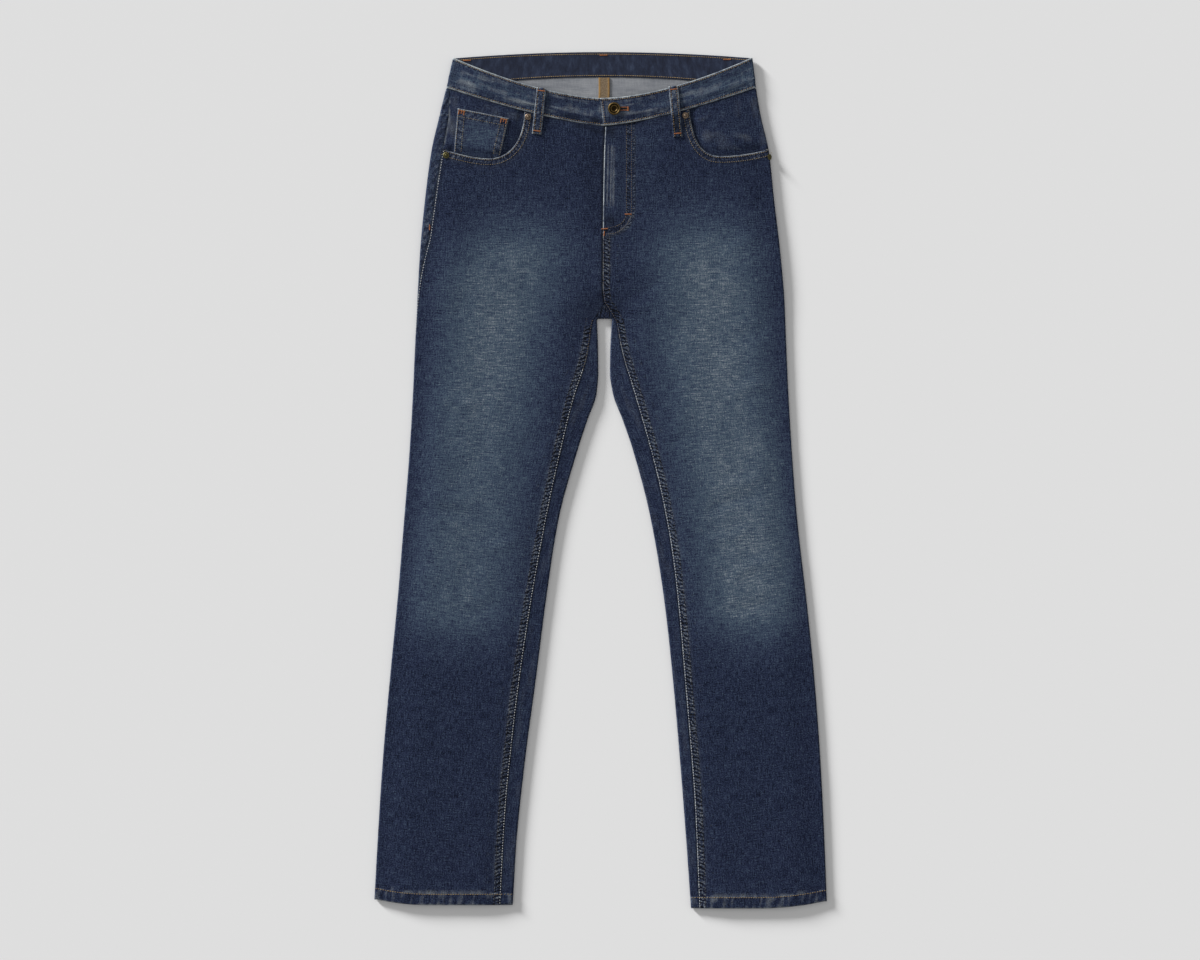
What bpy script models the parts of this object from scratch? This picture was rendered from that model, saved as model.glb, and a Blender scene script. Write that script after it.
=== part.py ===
"""Slim five-pocket jeans laid out flat, front up. Run it with Blender 4.5.

Sizes and tables are in millimetres, and the objects are in metres. +Z is up, +Y is towards the waist
and +X is the wearer's left. The origin is on the ground under the middle of the garment.
"""

import math

import bmesh
import bpy
from mathutils import Matrix, Vector

MM = 0.001

# Thicknesses of the cloth and the spaces between its layers
CLOTH = 1.2
BAND_CLOTH = 2.0
FACING_CLOTH = 0.9
COIN_CLOTH = 0.8
LOOP_CLOTH = 1.3
PATCH_CLOTH = 0.9
HALF_GAP = 0.15
REST_GAP = 0.3
BAND_GAP = 0.45
EDGE_ROOM = 1.8
MID_ROOM = 3.6
ROOM_RISE = 45.0

# The folded edges: the middle of the wall turns at FOLD, and its outer face at FOLD_OUT
FOLD = (CLOTH + EDGE_ROOM) / 2
FOLD_OUT = FOLD + CLOTH / 2
QUARTER = FOLD * math.pi / 2
CLEAR_OF_SEAM = 4.0

# The hip lies on the back pockets and back belt loops, the legs lie on the ground
HIP_LIFT = PATCH_CLOTH + REST_GAP
LIFT_FROM = 190.0
LIFT_TO = 290.0

# The crotch: x of the seat seam, the top of the space between the legs, and where four panels meet
SEAT_X = 5.5
CROTCH_Y = 219.0
CROTCH_ROUND = 2.0
STAR_Y = 241.0

# The waistband, laid flat: its edges at the middle of the front and back
BAND_FRONT_LOW = 481.0
BAND_FRONT_TOP = 518.5
BAND_BACK_LOW = 547.5
BAND_BACK_TOP = 581.5
BAND_PROUD = 0.5
BAND_FOLD = (EDGE_ROOM + 2 * CLOTH + BAND_PROUD - BAND_CLOTH) / 2
BAND_FOLD_OUT = BAND_FOLD + BAND_CLOTH / 2

# The band's side folds: the rows of the outline that they follow, and y of their low and high ends
BAND_SIDE_ROWS = (533, 575)
BAND_SIDE_ENDS = (532.5, 573.5)
BAND_SIDE_Y = 532.0

# How the band's edges curve from the middle to the side folds, low and high
BAND_CURVE_FRONT = (1.4, 1.65)
BAND_CURVE_BACK = (2.2, 2.0)

# x of the band's left end at its low and high edge
BAND_END_X = (3.9, -0.4)

# Cross lines of the band: shares of the way from the middle to the side fold, and degrees round the fold
BAND_SHARES = {
    "right": (1.0, 0.94, 0.86, 0.76, 0.66, 0.56, 0.46, 0.36, 0.27, 0.17, 0.05, -0.12),
    "left": (0.0, 0.08, 0.16, 0.24, 0.32, 0.42, 0.52, 0.62, 0.72, 0.82, 0.92, 1.0),
    "back": (1.0, 0.93, 0.84, 0.72, 0.58, 0.42, 0.22, 0.0),
}
BAND_TURNS = (54, 18, -18, -54)
BAND_HEIGHTS = (0.0, 0.34, 0.67, 1.0)

# The yokes: y of their lower seam at the side and the seat, and of their middle row at the side
YOKE_SIDE_Y = 495.0
YOKE_SEAT_Y = 473.0
YOKE_MIDDLE_Y = 513.0
YOKE_ROWS = 3
BACK_CELLS = 8

# The fly: the wearer's left front lies on the right front
FLY_UP = 0.7
FLY_DOWN = CLOTH + REST_GAP - FLY_UP
FLY_FOOT = 325.0
FLY_FULL = 343.0
FLY_FLAT = 16.0
FLY_WIDTH = 30.0
FLY_UNDER = 12.0
FLY_UNDER_FULL = 356.0
TUCK_FLAT = 4.0
TUCK_WIDTH = 22.0
BAND_END_UP = 1.1
BAND_END_DOWN = BAND_CLOTH + REST_GAP - BAND_END_UP
BAND_END_FLAT = 34.0
BAND_END_WIDTH = 60.0

# The hems: a folded edge that is thicker than the leg
HEM_HIGH = 15.5
HEM_STEP = 0.7
HEM_PROUD = 0.4

# The hip facings: how far they lie below the front, where they come up to it, and their reach under it
DROP = FACING_CLOTH + 0.5 + (CLOTH - FACING_CLOTH) / 2
DROP_NEAR = 3.0
DROP_FADE = 10.0
TUCK_UNDER = 12.0
TUCK_FROM = 0.15
FACING_ABOVE = 0.8
FACING_REACH = 8.0
FACING_CELLS = 4

# The coin pocket: its top corners, x of its low corners, how far it stops above the mouth, and its cells
COIN_TOP = ((-193.8, 504.7), (-124.6, 491.0))
COIN_LOW_X = (-199.0, -136.5)
COIN_ABOVE = 0.7
COIN_RAISED = 0.25
COIN_ACROSS = 6
COIN_UP = 5

# Belt loops, back pockets and the tape of the seat seam
LOOP_WIDE = 13.0
LOOP_ARCH = 1.0
LOOP_REACH = 4.0
LOOP_SHARES = (0.0, 0.1, 0.3, 0.5, 0.66, 0.8, 0.9, 1.0)
LOOP_FLAT_FROM = 0.9
BACK_LOOP_LONG = 52.0
BACK_LOOP_BELOW = 1.0
POCKET_OFF = 112.0
POCKET_TOP_Y = 452.0
POCKET_SIDE_Y = 322.0
POCKET_POINT_Y = 303.0
POCKET_TILT = 5.0
POCKET_HALF_TOP = 76.0
POCKET_HALF_LOW = 67.0
TAPE_WIDE = 15.0
TAPE_X = SEAT_X - 0.8
TAPE_ROWS = (546.8, 520.0, 490.0, 460.0, 430.0)

# The button, its buttonhole and the rivets
BUTTON_AT = (18.6, 503.9)
BUTTON_R = 8.7
BUTTON_STEPS = 28
SHANK_R = 2.2
EYE_R = 3.0
EYE_STEPS = 14
SLOT_LONG = 22.0
SLOT_HALF = 1.4
SLOT_TIP = 0.8
CUT_BELOW = 1.25
CUT_ABOVE = 3.0
RIVET_R = 4.4
RIVET_STEPS = 16

# Edges sharper than this stay crisp
CRISP = math.radians(40)

# Finishes: colour, roughness and how metallic
DENIM = ((0.020, 0.028, 0.055), 0.9, 0.0)
SEAM_TAPE = ((0.20, 0.14, 0.075), 0.9, 0.0)
OLD_BRASS = ((0.19, 0.14, 0.07), 0.42, 1.0)


def ease(t):
    """0 below 0, 1 above 1 and a smooth step between."""
    t = min(1.0, max(0.0, t))
    return t * t * (3 - 2 * t)


def smooth_curve(xs, ys):
    """A curve through the points that never swings past them. The xs rise."""
    steps = [(ys[i + 1] - ys[i]) / (xs[i + 1] - xs[i]) for i in range(len(xs) - 1)]
    slopes = [steps[0]]
    for before, after in zip(steps, steps[1:]):
        slopes.append(0.0 if before * after <= 0 else 2 * before * after / (before + after))
    slopes.append(steps[-1])

    def value(x):
        x = min(xs[-1], max(xs[0], x))
        i = max(k for k in range(len(xs) - 1) if k == 0 or xs[k] <= x)
        width = xs[i + 1] - xs[i]
        t = (x - xs[i]) / width
        return (
            (2 * t**3 - 3 * t**2 + 1) * ys[i]
            + (t**3 - 2 * t**2 + t) * width * slopes[i]
            + (3 * t**2 - 2 * t**3) * ys[i + 1]
            + (t**3 - t**2) * width * slopes[i + 1]
        )

    return value


def table(names, *rows):
    """One curve over y for each named column. The first column is y, and the rows go down the garment."""
    names = names.split()
    rows = rows[::-1]
    ys = [row[0] for row in rows]
    return {name: smooth_curve(ys, [row[k] for row in rows]) for k, name in enumerate(names) if k}


# The outline of the legs, seen from above: x of the outer folds
OUTER = table(
    "y right left",
    (575, -200.5, 206.5),
    (533, -209.5, 211.5),
    (511, -215.0, 215.0),
    (490, -220.0, 219.0),
    (449, -229.5, 228.5),
    (381, -238.5, 236.0),
    (313, -245.0, 244.0),
    (245, -249.0, 250.0),
    (184, -252.0, 252.5),
    (117, -255.0, 255.5),
    (41, -259.5, 260.0),
    (-54, -267.0, 267.5),
    (-163, -276.0, 280.0),
    (-272, -286.5, 291.0),
    (-381, -296.0, 299.0),
    (-490, -303.0, 304.5),
    (-582, -308.0, 308.0),
)

# x of the inner folds, from the top of the space between the legs down
INNER = table(
    "y right left",
    (219, -4.8, 15.6),
    (184, -3.5, 13.5),
    (147, -3.0, 12.8),
    (117, -5.5, 17.0),
    (82, -17.5, 30.0),
    (41, -31.0, 44.0),
    (-54, -57.0, 68.5),
    (-163, -74.0, 86.5),
    (-272, -88.0, 98.5),
    (-381, -102.5, 108.0),
    (-490, -114.0, 116.5),
    (-582, -119.5, 123.0),
)

# x of the inseams on the front, from the star seam down
INSEAM = table(
    "y right left",
    (241, 5.5, 5.5),
    (226, -4.5, 15.0),
    (213, -11.0, 21.8),
    (190, -14.5, 26.0),
    (166, -18.5, 31.5),
    (113, -35.5, 47.5),
    (45, -52.5, 67.0),
    (-20, -67.0, 83.0),
    (-100, -82.5, 97.5),
    (-178, -96.0, 106.5),
    (-300, -113.5, 117.0),
    (-371, -121.5, 123.0),
    (-430, -127.5, 127.5),
    (-490, -131.5, 130.5),
    (-582, -136.0, 134.0),
)

# Where the outseams run: cloth from the outermost line of the fold, and more than 0 on the front
OUTSEAM = table(
    "y right left",
    (533, 5.5, -0.9),
    (511, 9.0, -0.9),
    (490, 13.5, -0.9),
    (449, 15.5, -0.9),
    (381, 14.0, -0.9),
    (330, 12.0, -0.9),
    (305, 7.5, -0.9),
    (275, 3.0, -0.9),
    (245, 0.5, -0.9),
    (180, -0.8, -0.9),
    (-582, -1.1, -0.9),
)

# The edge of the fly and, under it, the seam down the middle of the front
FRONT_LINE = table(
    "y x",
    (525, 7.5),
    (481, 6.5),
    (442, 4.8),
    (341, 3.2),
    (262, 3.0),
    (241, 5.5),
)

# Bezier corners of the front pocket mouths, from the outseam to the waistband
MOUTHS = {
    "right": ((-213.5, 448.5), (-195.0, 444.0), (-172.0, 436.0), (-150.0, 436.5),
              (-120.0, 437.5), (-103.5, 466.0), (-103.5, 500.0)),
    "left": ((230.5, 449.5), (211.0, 444.5), (186.0, 439.0), (160.0, 439.8),
             (131.0, 441.0), (123.5, 474.0), (120.5, 503.5)),
}

# How far along the mouth its vertices lie, as shares of its length
MOUTH_STEPS = (0.0, 0.1, 0.22, 0.38, 0.52, 0.66, 0.82, 1.0)

# The heights of the rows that the panels share at their seams
HEM_ROWS = (0.0, HEM_HIGH, HEM_HIGH + 0.6)
LEG_ROWS = (-500, -440, -380, -320, -260, -200, -140, -80, -25, 30, 75, 117, 150, 180, 205)
CROTCH_ROWS = (213, 219, 226, 233.5, STAR_Y)
SEAT_ROWS = (262, 280, 300, FLY_FOOT)
HIP_SIDE_ROWS = (FLY_FOOT, 348, 370, 396, 422, 448.5)
FLY_ROWS = (FLY_FOOT, FLY_FULL, FLY_UNDER_FULL, 400, 441)
FACING_ROWS = (448.5, 470, YOKE_SIDE_Y, YOKE_MIDDLE_Y)

# The hems: y of the lowest edge, and how much it rises to the outer corner from x on
HEMS = {"right": (-577.5, 7.5, -232.0), "left": (-582.0, 9.5, 215.0)}

SIDES = {"right": -1.0, "left": 1.0}
WRAP_CELLS = {"right": 4, "left": 2}


def lift(y):
    """Height of the lowest cloth above the ground."""
    return HIP_LIFT * ease((y - LIFT_FROM) / (LIFT_TO - LIFT_FROM))


def side_of(x):
    return "right" if x < SEAT_X else "left"


def from_folds(x, y):
    """How far a point is from where the nearest fold begins."""
    side = side_of(x)
    from_outer = abs(x - OUTER[side](y)) - FOLD_OUT
    if y >= CROTCH_Y:
        half = abs(INNER[side](CROTCH_Y) - SEAT_X)
        from_inner = math.hypot(max(abs(x - SEAT_X) - half, 0.0), y - CROTCH_Y)
    else:
        from_inner = abs(x - INNER[side](y))
    return min(from_outer, from_inner - FOLD_OUT)


def room(x, y):
    """Height of the space between the back and the front."""
    return EDGE_ROOM + (MID_ROOM - EDGE_ROOM) * ease(from_folds(x, y) / ROOM_RISE)


def fly_shift(side, x, y):
    """The left front is raised and the right front lowered where one lies on the other."""
    high = ease((y - FLY_FOOT) / (FLY_FULL - FLY_FOOT))
    edge = FRONT_LINE["x"](y)
    if side == "left":
        return FLY_UP * high * (1 - ease((x - edge - FLY_FLAT) / (FLY_WIDTH - FLY_FLAT)))
    return -FLY_DOWN * high * (1 - ease((edge - TUCK_FLAT - x) / (TUCK_WIDTH - TUCK_FLAT)))


def front_middle(side, x, y):
    """Height of the middle of the front's wall."""
    return lift(y) + CLOTH * 1.5 + room(x, y) + fly_shift(side, x, y)


def front_top(side, x, y):
    return front_middle(side, x, y) + CLOTH / 2


def hem_line(side, x):
    """y of the lowest edge of a leg."""
    low, rise, start = HEMS[side]
    out = SIDES[side]
    reach = out * (OUTER[side](low) - start) - 2 * FOLD_OUT
    return low + rise * min(1.0, max(0.0, out * (x - start) / reach)) ** 2


def outer_height(side, y):
    """y at the outer fold of the row that is at y by the inner one."""
    return y + HEMS[side][1] if y < LEG_ROWS[0] else y


def hem_extra(above_hem):
    """How much the folded hem adds to a wall, towards its outside and its inside."""
    if above_hem > HEM_HIGH + 0.3:
        return 0.0, 0.0
    return HEM_PROUD, HEM_STEP - HEM_PROUD


def on_top(side, x, y, level=front_middle, out=CLOTH / 2, inn=CLOTH / 2):
    """A point of an upward wall: its middle, outward direction, and thickness outwards and inwards."""
    return (x, y, level(side, x, y)), (0.0, 0.0, 1.0), out, inn


def below(x, y, out=CLOTH / 2, inn=CLOTH / 2):
    """A point of the back, where it lies on the ground."""
    return (x, y, lift(y) + CLOTH / 2), (0.0, 0.0, -1.0), out, inn


def round_fold(edge, outward, cloth, side):
    """A point on a fold: cloth is measured from its outermost line, up and over when positive."""
    x, y = (e - n * FOLD_OUT for e, n in zip(edge, outward))
    if cloth >= QUARTER:
        past = cloth - QUARTER
        return on_top(side, x - outward[0] * past, y - outward[1] * past)
    if cloth <= -QUARTER:
        past = -cloth - QUARTER
        return below(x - outward[0] * past, y - outward[1] * past)
    turn = cloth / FOLD
    across, up = math.cos(turn), math.sin(turn)
    middle = (
        x + outward[0] * FOLD * across,
        y + outward[1] * FOLD * across,
        lift(y) + CLOTH / 2 + FOLD * (1 + up),
    )
    return middle, (outward[0] * across, outward[1] * across, up), CLOTH / 2, CLOTH / 2


def outer_fold(side, y, cloth):
    return round_fold((OUTER[side](y), y), (SIDES[side], 0.0), cloth, side)


def flat_from(side, y):
    """Cloth from the outermost line at which the front is flat and clear of the outseam."""
    return max(OUTSEAM[side](y) + CLEAR_OF_SEAM, QUARTER)


def flat_x(side, y):
    """x at which the front is flat and clear of the outseam."""
    return OUTER[side](y) - SIDES[side] * (FOLD_OUT + flat_from(side, y) - QUARTER)


def bezier(corners, t):
    """A point of a row of joined cubic curves."""
    parts = (len(corners) - 1) // 3
    k = min(parts - 1, int(t * parts))
    t = t * parts - k
    weights = ((1 - t) ** 3, 3 * t * (1 - t) ** 2, 3 * t * t * (1 - t), t**3)
    return tuple(sum(w * p[i] for w, p in zip(weights, corners[3 * k : 3 * k + 4])) for i in (0, 1))


def lengths(points):
    """The shares of a line's length at its points."""
    along = [0.0]
    for a, b in zip(points, points[1:]):
        along.append(along[-1] + math.dist(a, b))
    return [s / along[-1] for s in along]


def at_share(points, share):
    """The point at a share of a line's length."""
    along = lengths(points)
    k = max(i for i in range(len(points) - 1) if i == 0 or along[i] <= share)
    t = (share - along[k]) / (along[k + 1] - along[k])
    return tuple(a + (b - a) * t for a, b in zip(points[k], points[k + 1]))


def mouth_point(side, share):
    """A point of the pocket mouth: 0 is where the front turns flat by the outseam, 1 is at the waistband."""
    line = [bezier(MOUTHS[side], k / 60) for k in range(61)]
    start = flat_x(side, line[0][1])
    line = [p for p in line if SIDES[side] * (p[0] - start) < -0.5]
    line.insert(0, (start, mouth_side_y(side)))
    return at_share(line, share)


def mouth_side_y(side):
    return MOUTHS[side][0][1]


def mouth_points(side):
    return [mouth_point(side, share) for share in MOUTH_STEPS]


def from_line(points, x, y):
    """How far a point is from a line of points."""
    best = math.inf
    for (ax, ay), (bx, by) in zip(points, points[1:]):
        t = ((x - ax) * (bx - ax) + (y - ay) * (by - ay)) / ((bx - ax) ** 2 + (by - ay) ** 2)
        t = min(1.0, max(0.0, t))
        best = min(best, math.hypot(x - ax - t * (bx - ax), y - ay - t * (by - ay)))
    return best


def coons(bottom, top, left, right):
    """Points between four edges. Bottom and top run from left to right, the other two upwards."""
    across = [(a + b) / 2 for a, b in zip(lengths(bottom), lengths(top))]
    up = [(a + b) / 2 for a, b in zip(lengths(left), lengths(right))]
    rows = []
    for i, v in enumerate(up):
        row = []
        for j, u in enumerate(across):
            row.append(tuple(
                (1 - v) * bottom[j][k] + v * top[j][k] + (1 - u) * left[i][k] + u * right[i][k]
                - (1 - u) * (1 - v) * bottom[0][k] - u * (1 - v) * bottom[-1][k]
                - (1 - u) * v * top[0][k] - u * v * top[-1][k]
                for k in (0, 1)
            ))
        rows.append(row)
    return rows


def between(a, b, count):
    """count + 1 points from a to b."""
    return [tuple(p + (q - p) * k / count for p, q in zip(a, b)) for k in range(count + 1)]


def wall(name, grids, finish):
    """Makes one closed cloth wall from grids of points. Grids that share an edge are joined there."""
    numbers = {}
    points = []
    faces = []

    def number(point):
        key = tuple(round(c, 3) for c in point[0])
        if key not in numbers:
            numbers[key] = len(points)
            points.append(point)
        return numbers[key]

    for grid in grids:
        ids = [[number(p) for p in row] for row in grid]
        for low, high in zip(ids, ids[1:]):
            for j in range(len(low) - 1):
                face = list(dict.fromkeys((low[j], low[j + 1], high[j + 1], high[j])))
                if len(face) > 2:
                    faces.append(turned_out(face, points))
    sides = {}
    for face in faces:
        for a, b in zip(face, face[1:] + face[:1]):
            sides[(a, b)] = True
    rim = [(a, b) for a, b in sides if (b, a) not in sides]

    count = len(points)
    corners = [moved(p, p[2]) for p in points] + [moved(p, -p[3]) for p in points]
    shell = [tuple(f) for f in faces] + [tuple(i + count for i in reversed(f)) for f in faces]
    for a, b in rim:
        if corners[a][1::-1] < corners[b][1::-1]:
            shell += [(b, a, b + count), (a, a + count, b + count)]
        else:
            shell += [(b, a, a + count), (b, a + count, b + count)]
    return solid(name, corners, shell, finish)


def moved(point, far):
    (x, y, z), (nx, ny, nz), _, _ = point
    return x + nx * far, y + ny * far, z + nz * far


def turned_out(face, points):
    """The face with its corners in the order that makes it look outwards."""
    a, b, c = (Vector(points[face[k]][0]) for k in (0, 1, 2))
    last = Vector(points[face[-1]][0])
    normal = (b - a).cross(c - a) + (c - a).cross(last - a)
    outward = sum((Vector(points[k][1]) for k in face), Vector())
    return face if normal.dot(outward) > 0 else face[::-1]


def solid(name, corners, faces, finish):
    """An object from corners in millimetres."""
    mesh = bpy.data.meshes.new(name)
    mesh.from_pydata([tuple(c * MM for c in corner) for corner in corners], [], faces)
    mesh.validate()
    return add_object(name, mesh, finish)


def add_object(name, mesh, finish):
    """An object with its own material."""
    mesh.shade_smooth()
    mesh.set_sharp_from_angle(angle=CRISP)
    mesh.materials.append(make_material(name, *finish))
    made = bpy.data.objects.new(name, mesh)
    bpy.context.scene.collection.objects.link(made)
    return made


def make_material(name, colour, roughness, metallic):
    material = bpy.data.materials.new(name)
    material.use_nodes = True
    shader = material.node_tree.nodes["Principled BSDF"]
    shader.inputs["Base Color"].default_value = (*colour, 1.0)
    shader.inputs["Roughness"].default_value = roughness
    shader.inputs["Metallic"].default_value = metallic
    return material


# The waistband is one strip from the wearer's right end, round the back, to the left end that buttons over it


def band_fold_line(side):
    """The outermost line of the band's side fold, low end and high end, and its outward direction."""
    low, high = (Vector((OUTER[side](row), y)) for row, y in zip(BAND_SIDE_ROWS, BAND_SIDE_ENDS))
    along = (high - low).normalized()
    outward = Vector((along.y, -along.x)) * SIDES[side]
    return low, high, outward


def band_corner(side, high):
    """Where the side fold of the band turns flat, at its low or high edge."""
    low_end, high_end, outward = band_fold_line(side)
    return (high_end if high else low_end) - outward * BAND_FOLD_OUT


def band_edge(side, share, high, back):
    """A point of the band's edge: share is 0 at the middle of the garment and 1 at the side fold."""
    corner = band_corner(side, high)
    low_y, top_y = (BAND_BACK_LOW, BAND_BACK_TOP) if back else (BAND_FRONT_LOW, BAND_FRONT_TOP)
    curve = BAND_CURVE_BACK if back else BAND_CURVE_FRONT
    middle = top_y if high else low_y
    x = SEAT_X + (corner.x - SEAT_X) * share
    return x, middle + (corner.y - middle) * abs(share) ** curve[high]


def band_low_y(x, back=False):
    """y of the band's lower edge."""
    side = side_of(x)
    corner = band_corner(side, False)
    return band_edge(side, min(1.0, (x - SEAT_X) / (corner.x - SEAT_X)), False, back)[1]


def band_middle_z(side, x, y):
    """Height of the middle of the band's wall on the front, with its ends one on the other."""
    level = lift(y) + room(x, y) + 2 * CLOTH + BAND_PROUD - BAND_CLOTH / 2
    off = abs(x - SEAT_X)
    overlap = 1 - ease((off - BAND_END_FLAT) / (BAND_END_WIDTH - BAND_END_FLAT))
    if side == "left":
        return level + BAND_END_UP * overlap
    return level - BAND_END_DOWN * (overlap if x < SEAT_X else 1.0)


def band_top_z(x, y):
    side = side_of(x)
    return band_middle_z(side, x, y) + BAND_CLOTH / 2


def band_stations():
    """The strip's cross lines, each as a function of the share of its height."""
    half = BAND_CLOTH / 2

    def front(side, share):
        def line(v):
            low, high = (band_edge(side, share, top, False) for top in (False, True))
            x, y = (a + (b - a) * v for a, b in zip(low, high))
            if side == "left" and share == 0.0:
                x = BAND_END_X[0] + (BAND_END_X[1] - BAND_END_X[0]) * v
            return (x, y, band_middle_z(side, x, y)), (0.0, 0.0, 1.0), half, half

        return line

    def back(side, share):
        def line(v):
            low, high = (band_edge(side, share, top, True) for top in (False, True))
            x, y = (a + (b - a) * v for a, b in zip(low, high))
            return (x, y, lift(y) + half), (0.0, 0.0, -1.0), half, half

        return line

    def fold(side, turn):
        def line(v):
            low, high, outward = band_fold_line(side)
            across, up = math.cos(turn), math.sin(turn)
            place = low.lerp(high, v) - outward * (BAND_FOLD_OUT - BAND_FOLD * across)
            z = lift(place.y) + half + BAND_FOLD * (1 + up)
            return (place.x, place.y, z), (outward.x * across, outward.y * across, up), half, half

        return line

    turns = [math.radians(a) for a in BAND_TURNS]
    lines = [front("right", s) for s in BAND_SHARES["right"][::-1]]
    lines += [fold("right", t) for t in turns]
    lines += [back("right", s) for s in BAND_SHARES["back"][:-1]]
    lines += [back("left", s) for s in BAND_SHARES["back"][::-1]]
    lines += [fold("left", t) for t in turns[::-1]]
    return lines + [front("left", s) for s in BAND_SHARES["left"][::-1]]


def make_waistband():
    grid = [[line(v) for v in BAND_HEIGHTS] for line in band_stations()]
    cut_buttonhole(wall("waistband", [grid], DENIM))


def cut_buttonhole(band):
    """A keyhole through the left end: a round eye for the shank and a slot to its right."""
    x, y = BUTTON_AT
    turn = math.asin(SLOT_HALF / EYE_R)
    angles = (turn + (2 * math.pi - 2 * turn) * k / EYE_STEPS for k in range(EYE_STEPS + 1))
    outline = [(x + EYE_R * math.cos(a), y + EYE_R * math.sin(a)) for a in angles]
    slot_end = x + SLOT_LONG - EYE_R - 1.0
    outline += [(slot_end, y - SLOT_HALF), (slot_end + SLOT_TIP, y), (slot_end, y + SLOT_HALF)]
    middle = band_middle_z("left", x, y)
    cutter = slab("buttonhole_cutter", outline, middle - CUT_BELOW, middle + CUT_ABOVE, DENIM)
    cutter.hide_render = True
    cutter.display_type = "WIRE"
    cut = band.modifiers.new("buttonhole", "BOOLEAN")
    cut.operation = "DIFFERENCE"
    cut.object = cutter


# The fronts: an outer strip round the fold, the main part and a strip by the fly and inseam


def inner_line(side, y):
    """x of the front's inner seam: the inseam below the star seam and the fly line above it."""
    return INSEAM[side](y) if y <= STAR_Y else FRONT_LINE["x"](y)


def inner_edge(side, y):
    """x of the front's inner edge, with the part of the right front that lies under the fly."""
    x = inner_line(side, y) + SIDES[side] * HALF_GAP
    if side == "right":
        x += FLY_UNDER * ease((y - FLY_FULL) / (FLY_UNDER_FULL - FLY_FULL))
    return x


def inner_strip(side, y):
    """x of the lines of the strip by the inner edge, from the main part inwards."""
    line = inner_line(side, y)
    if side == "left":
        return line + FLY_WIDTH, line + FLY_FLAT, inner_edge(side, y)
    return line - TUCK_WIDTH, line - TUCK_FLAT, inner_edge(side, y)


def leg_heights(side, x):
    """The rows of a leg at x, from the hem to the foot of the hip: hem rows follow the hem's curve."""
    low = hem_line(side, x)
    return [low + step for step in HEM_ROWS] + list(LEG_ROWS + CROTCH_ROWS + SEAT_ROWS)


def front_row_x(side, y, columns):
    start = flat_x(side, y)
    end = inner_strip(side, y)[0]
    return [start + (end - start) * share for share in columns]


def front_top_edge(side):
    """The top edge of the main part: the pocket mouth, then the waistband's lower edge."""
    mouth = mouth_points(side)
    top_y = band_low_y(mouth[-1][0]) - BAND_GAP
    mouth[-1] = (mouth[-1][0], top_y)
    end = inner_strip(side, BAND_FRONT_LOW)[0]
    xs = [mouth[-1][0] + (end - mouth[-1][0]) * k / 3 for k in (1, 2, 3)]
    return mouth + [(x, band_low_y(x) - BAND_GAP) for x in xs]


def make_front(side):
    top = front_top_edge(side)
    columns = lengths(top)

    # The leg, in rows across it
    count = len(leg_heights(side, 0.0))
    leg_main, leg_outer, leg_inner = [], [], []
    for i in range(count):
        y_in = leg_heights(side, INNER[side](HEMS[side][0]))[i]
        y_out = outer_height(side, y_in)
        xs = front_row_x(side, y_out, columns)
        extra = hem_extra(y_in - HEMS[side][0])
        leg_main.append([thicker(on_top(side, x, leg_heights(side, x)[i]), extra) for x in xs])
        leg_outer.append([leg_main[-1][0], *front_outer_row(side, y_out, extra)[1:]])
        leg_inner.append([thicker(on_top(side, x, y_in), extra) for x in inner_strip(side, y_in)])
        leg_inner[-1][0] = leg_main[-1][-1]

    # The hip, between the foot of the fly, the outseam, the top edge and the fly
    fly_rows = [*FLY_ROWS, band_low_y(top[-1][0]) - BAND_GAP]
    bottom = [(x, FLY_FOOT) for x in front_row_x(side, FLY_FOOT, columns)]
    left = [(flat_x(side, y), y) for y in HIP_SIDE_ROWS[:-1]] + [top[0]]
    right = [(inner_strip(side, y)[0], y) for y in fly_rows]
    hip = [[on_top(side, x, y) for x, y in row] for row in coons(bottom, top, left, right)]
    hip_outer = [front_outer_row(side, y, (0.0, 0.0)) for y in [p[1] for p in left]]
    hip_inner = []
    for k, y in enumerate(fly_rows):
        xs = inner_strip(side, y)
        last = k == len(fly_rows) - 1
        hip_inner.append([on_top(side, x, band_low_y(x) - BAND_GAP if last else y) for x in xs])
    wall(f"front_{side}", [leg_main, leg_outer, leg_inner, hip, hip_outer, hip_inner], DENIM)


def thicker(point, extra):
    """The point with more wall. Where it looks down, all of it goes to the inside."""
    middle, normal, out, inn = point
    up = (1 + normal[2]) / 2
    return middle, normal, out + extra[0] * up, inn + extra[1] + extra[0] * (1 - up)


def front_outer_row(side, y, extra):
    """From where the front is flat to its outseam edge."""
    start, end = flat_from(side, y), OUTSEAM[side](y) + HALF_GAP
    return [thicker(outer_fold(side, y, start + (end - start) * k / 3), extra) for k in range(4)]


# The backs: the part on the ground, the outer strip up to the outseam and the inner one up to the inseam


def yoke_seam_y(x):
    """y of the seam between the yoke and the back."""
    reach = abs(OUTER[side_of(x)](YOKE_SIDE_Y) - SEAT_X)
    return YOKE_SEAT_Y + (YOKE_SIDE_Y - YOKE_SEAT_Y) * abs(x - SEAT_X) / reach


def ground_x(side, y):
    """x where the outer fold meets the ground part."""
    return OUTER[side](y) - SIDES[side] * FOLD_OUT


def crotch_fold(side):
    """For each row at the crotch: where its fold begins on the ground, and the fold's outward direction."""
    out = SIDES[side]
    edge = INNER[side](CROTCH_Y)
    heart = (edge - out * CROTCH_ROUND, CROTCH_Y - CROTCH_ROUND)
    rows = []
    for angle in (0, 45, 90):
        turn = math.radians(angle)
        outward = (-out * math.cos(turn), -math.sin(turn))
        far = CROTCH_ROUND + FOLD_OUT
        rows.append(((heart[0] - outward[0] * far, heart[1] - outward[1] * far), outward))
    start, seat = rows[-1][0], SEAT_X + out * HALF_GAP
    for share in (0.5, 1.0):
        rows.append(((start[0] + (seat - start[0]) * share, start[1]), (0.0, -1.0)))
    return rows


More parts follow.
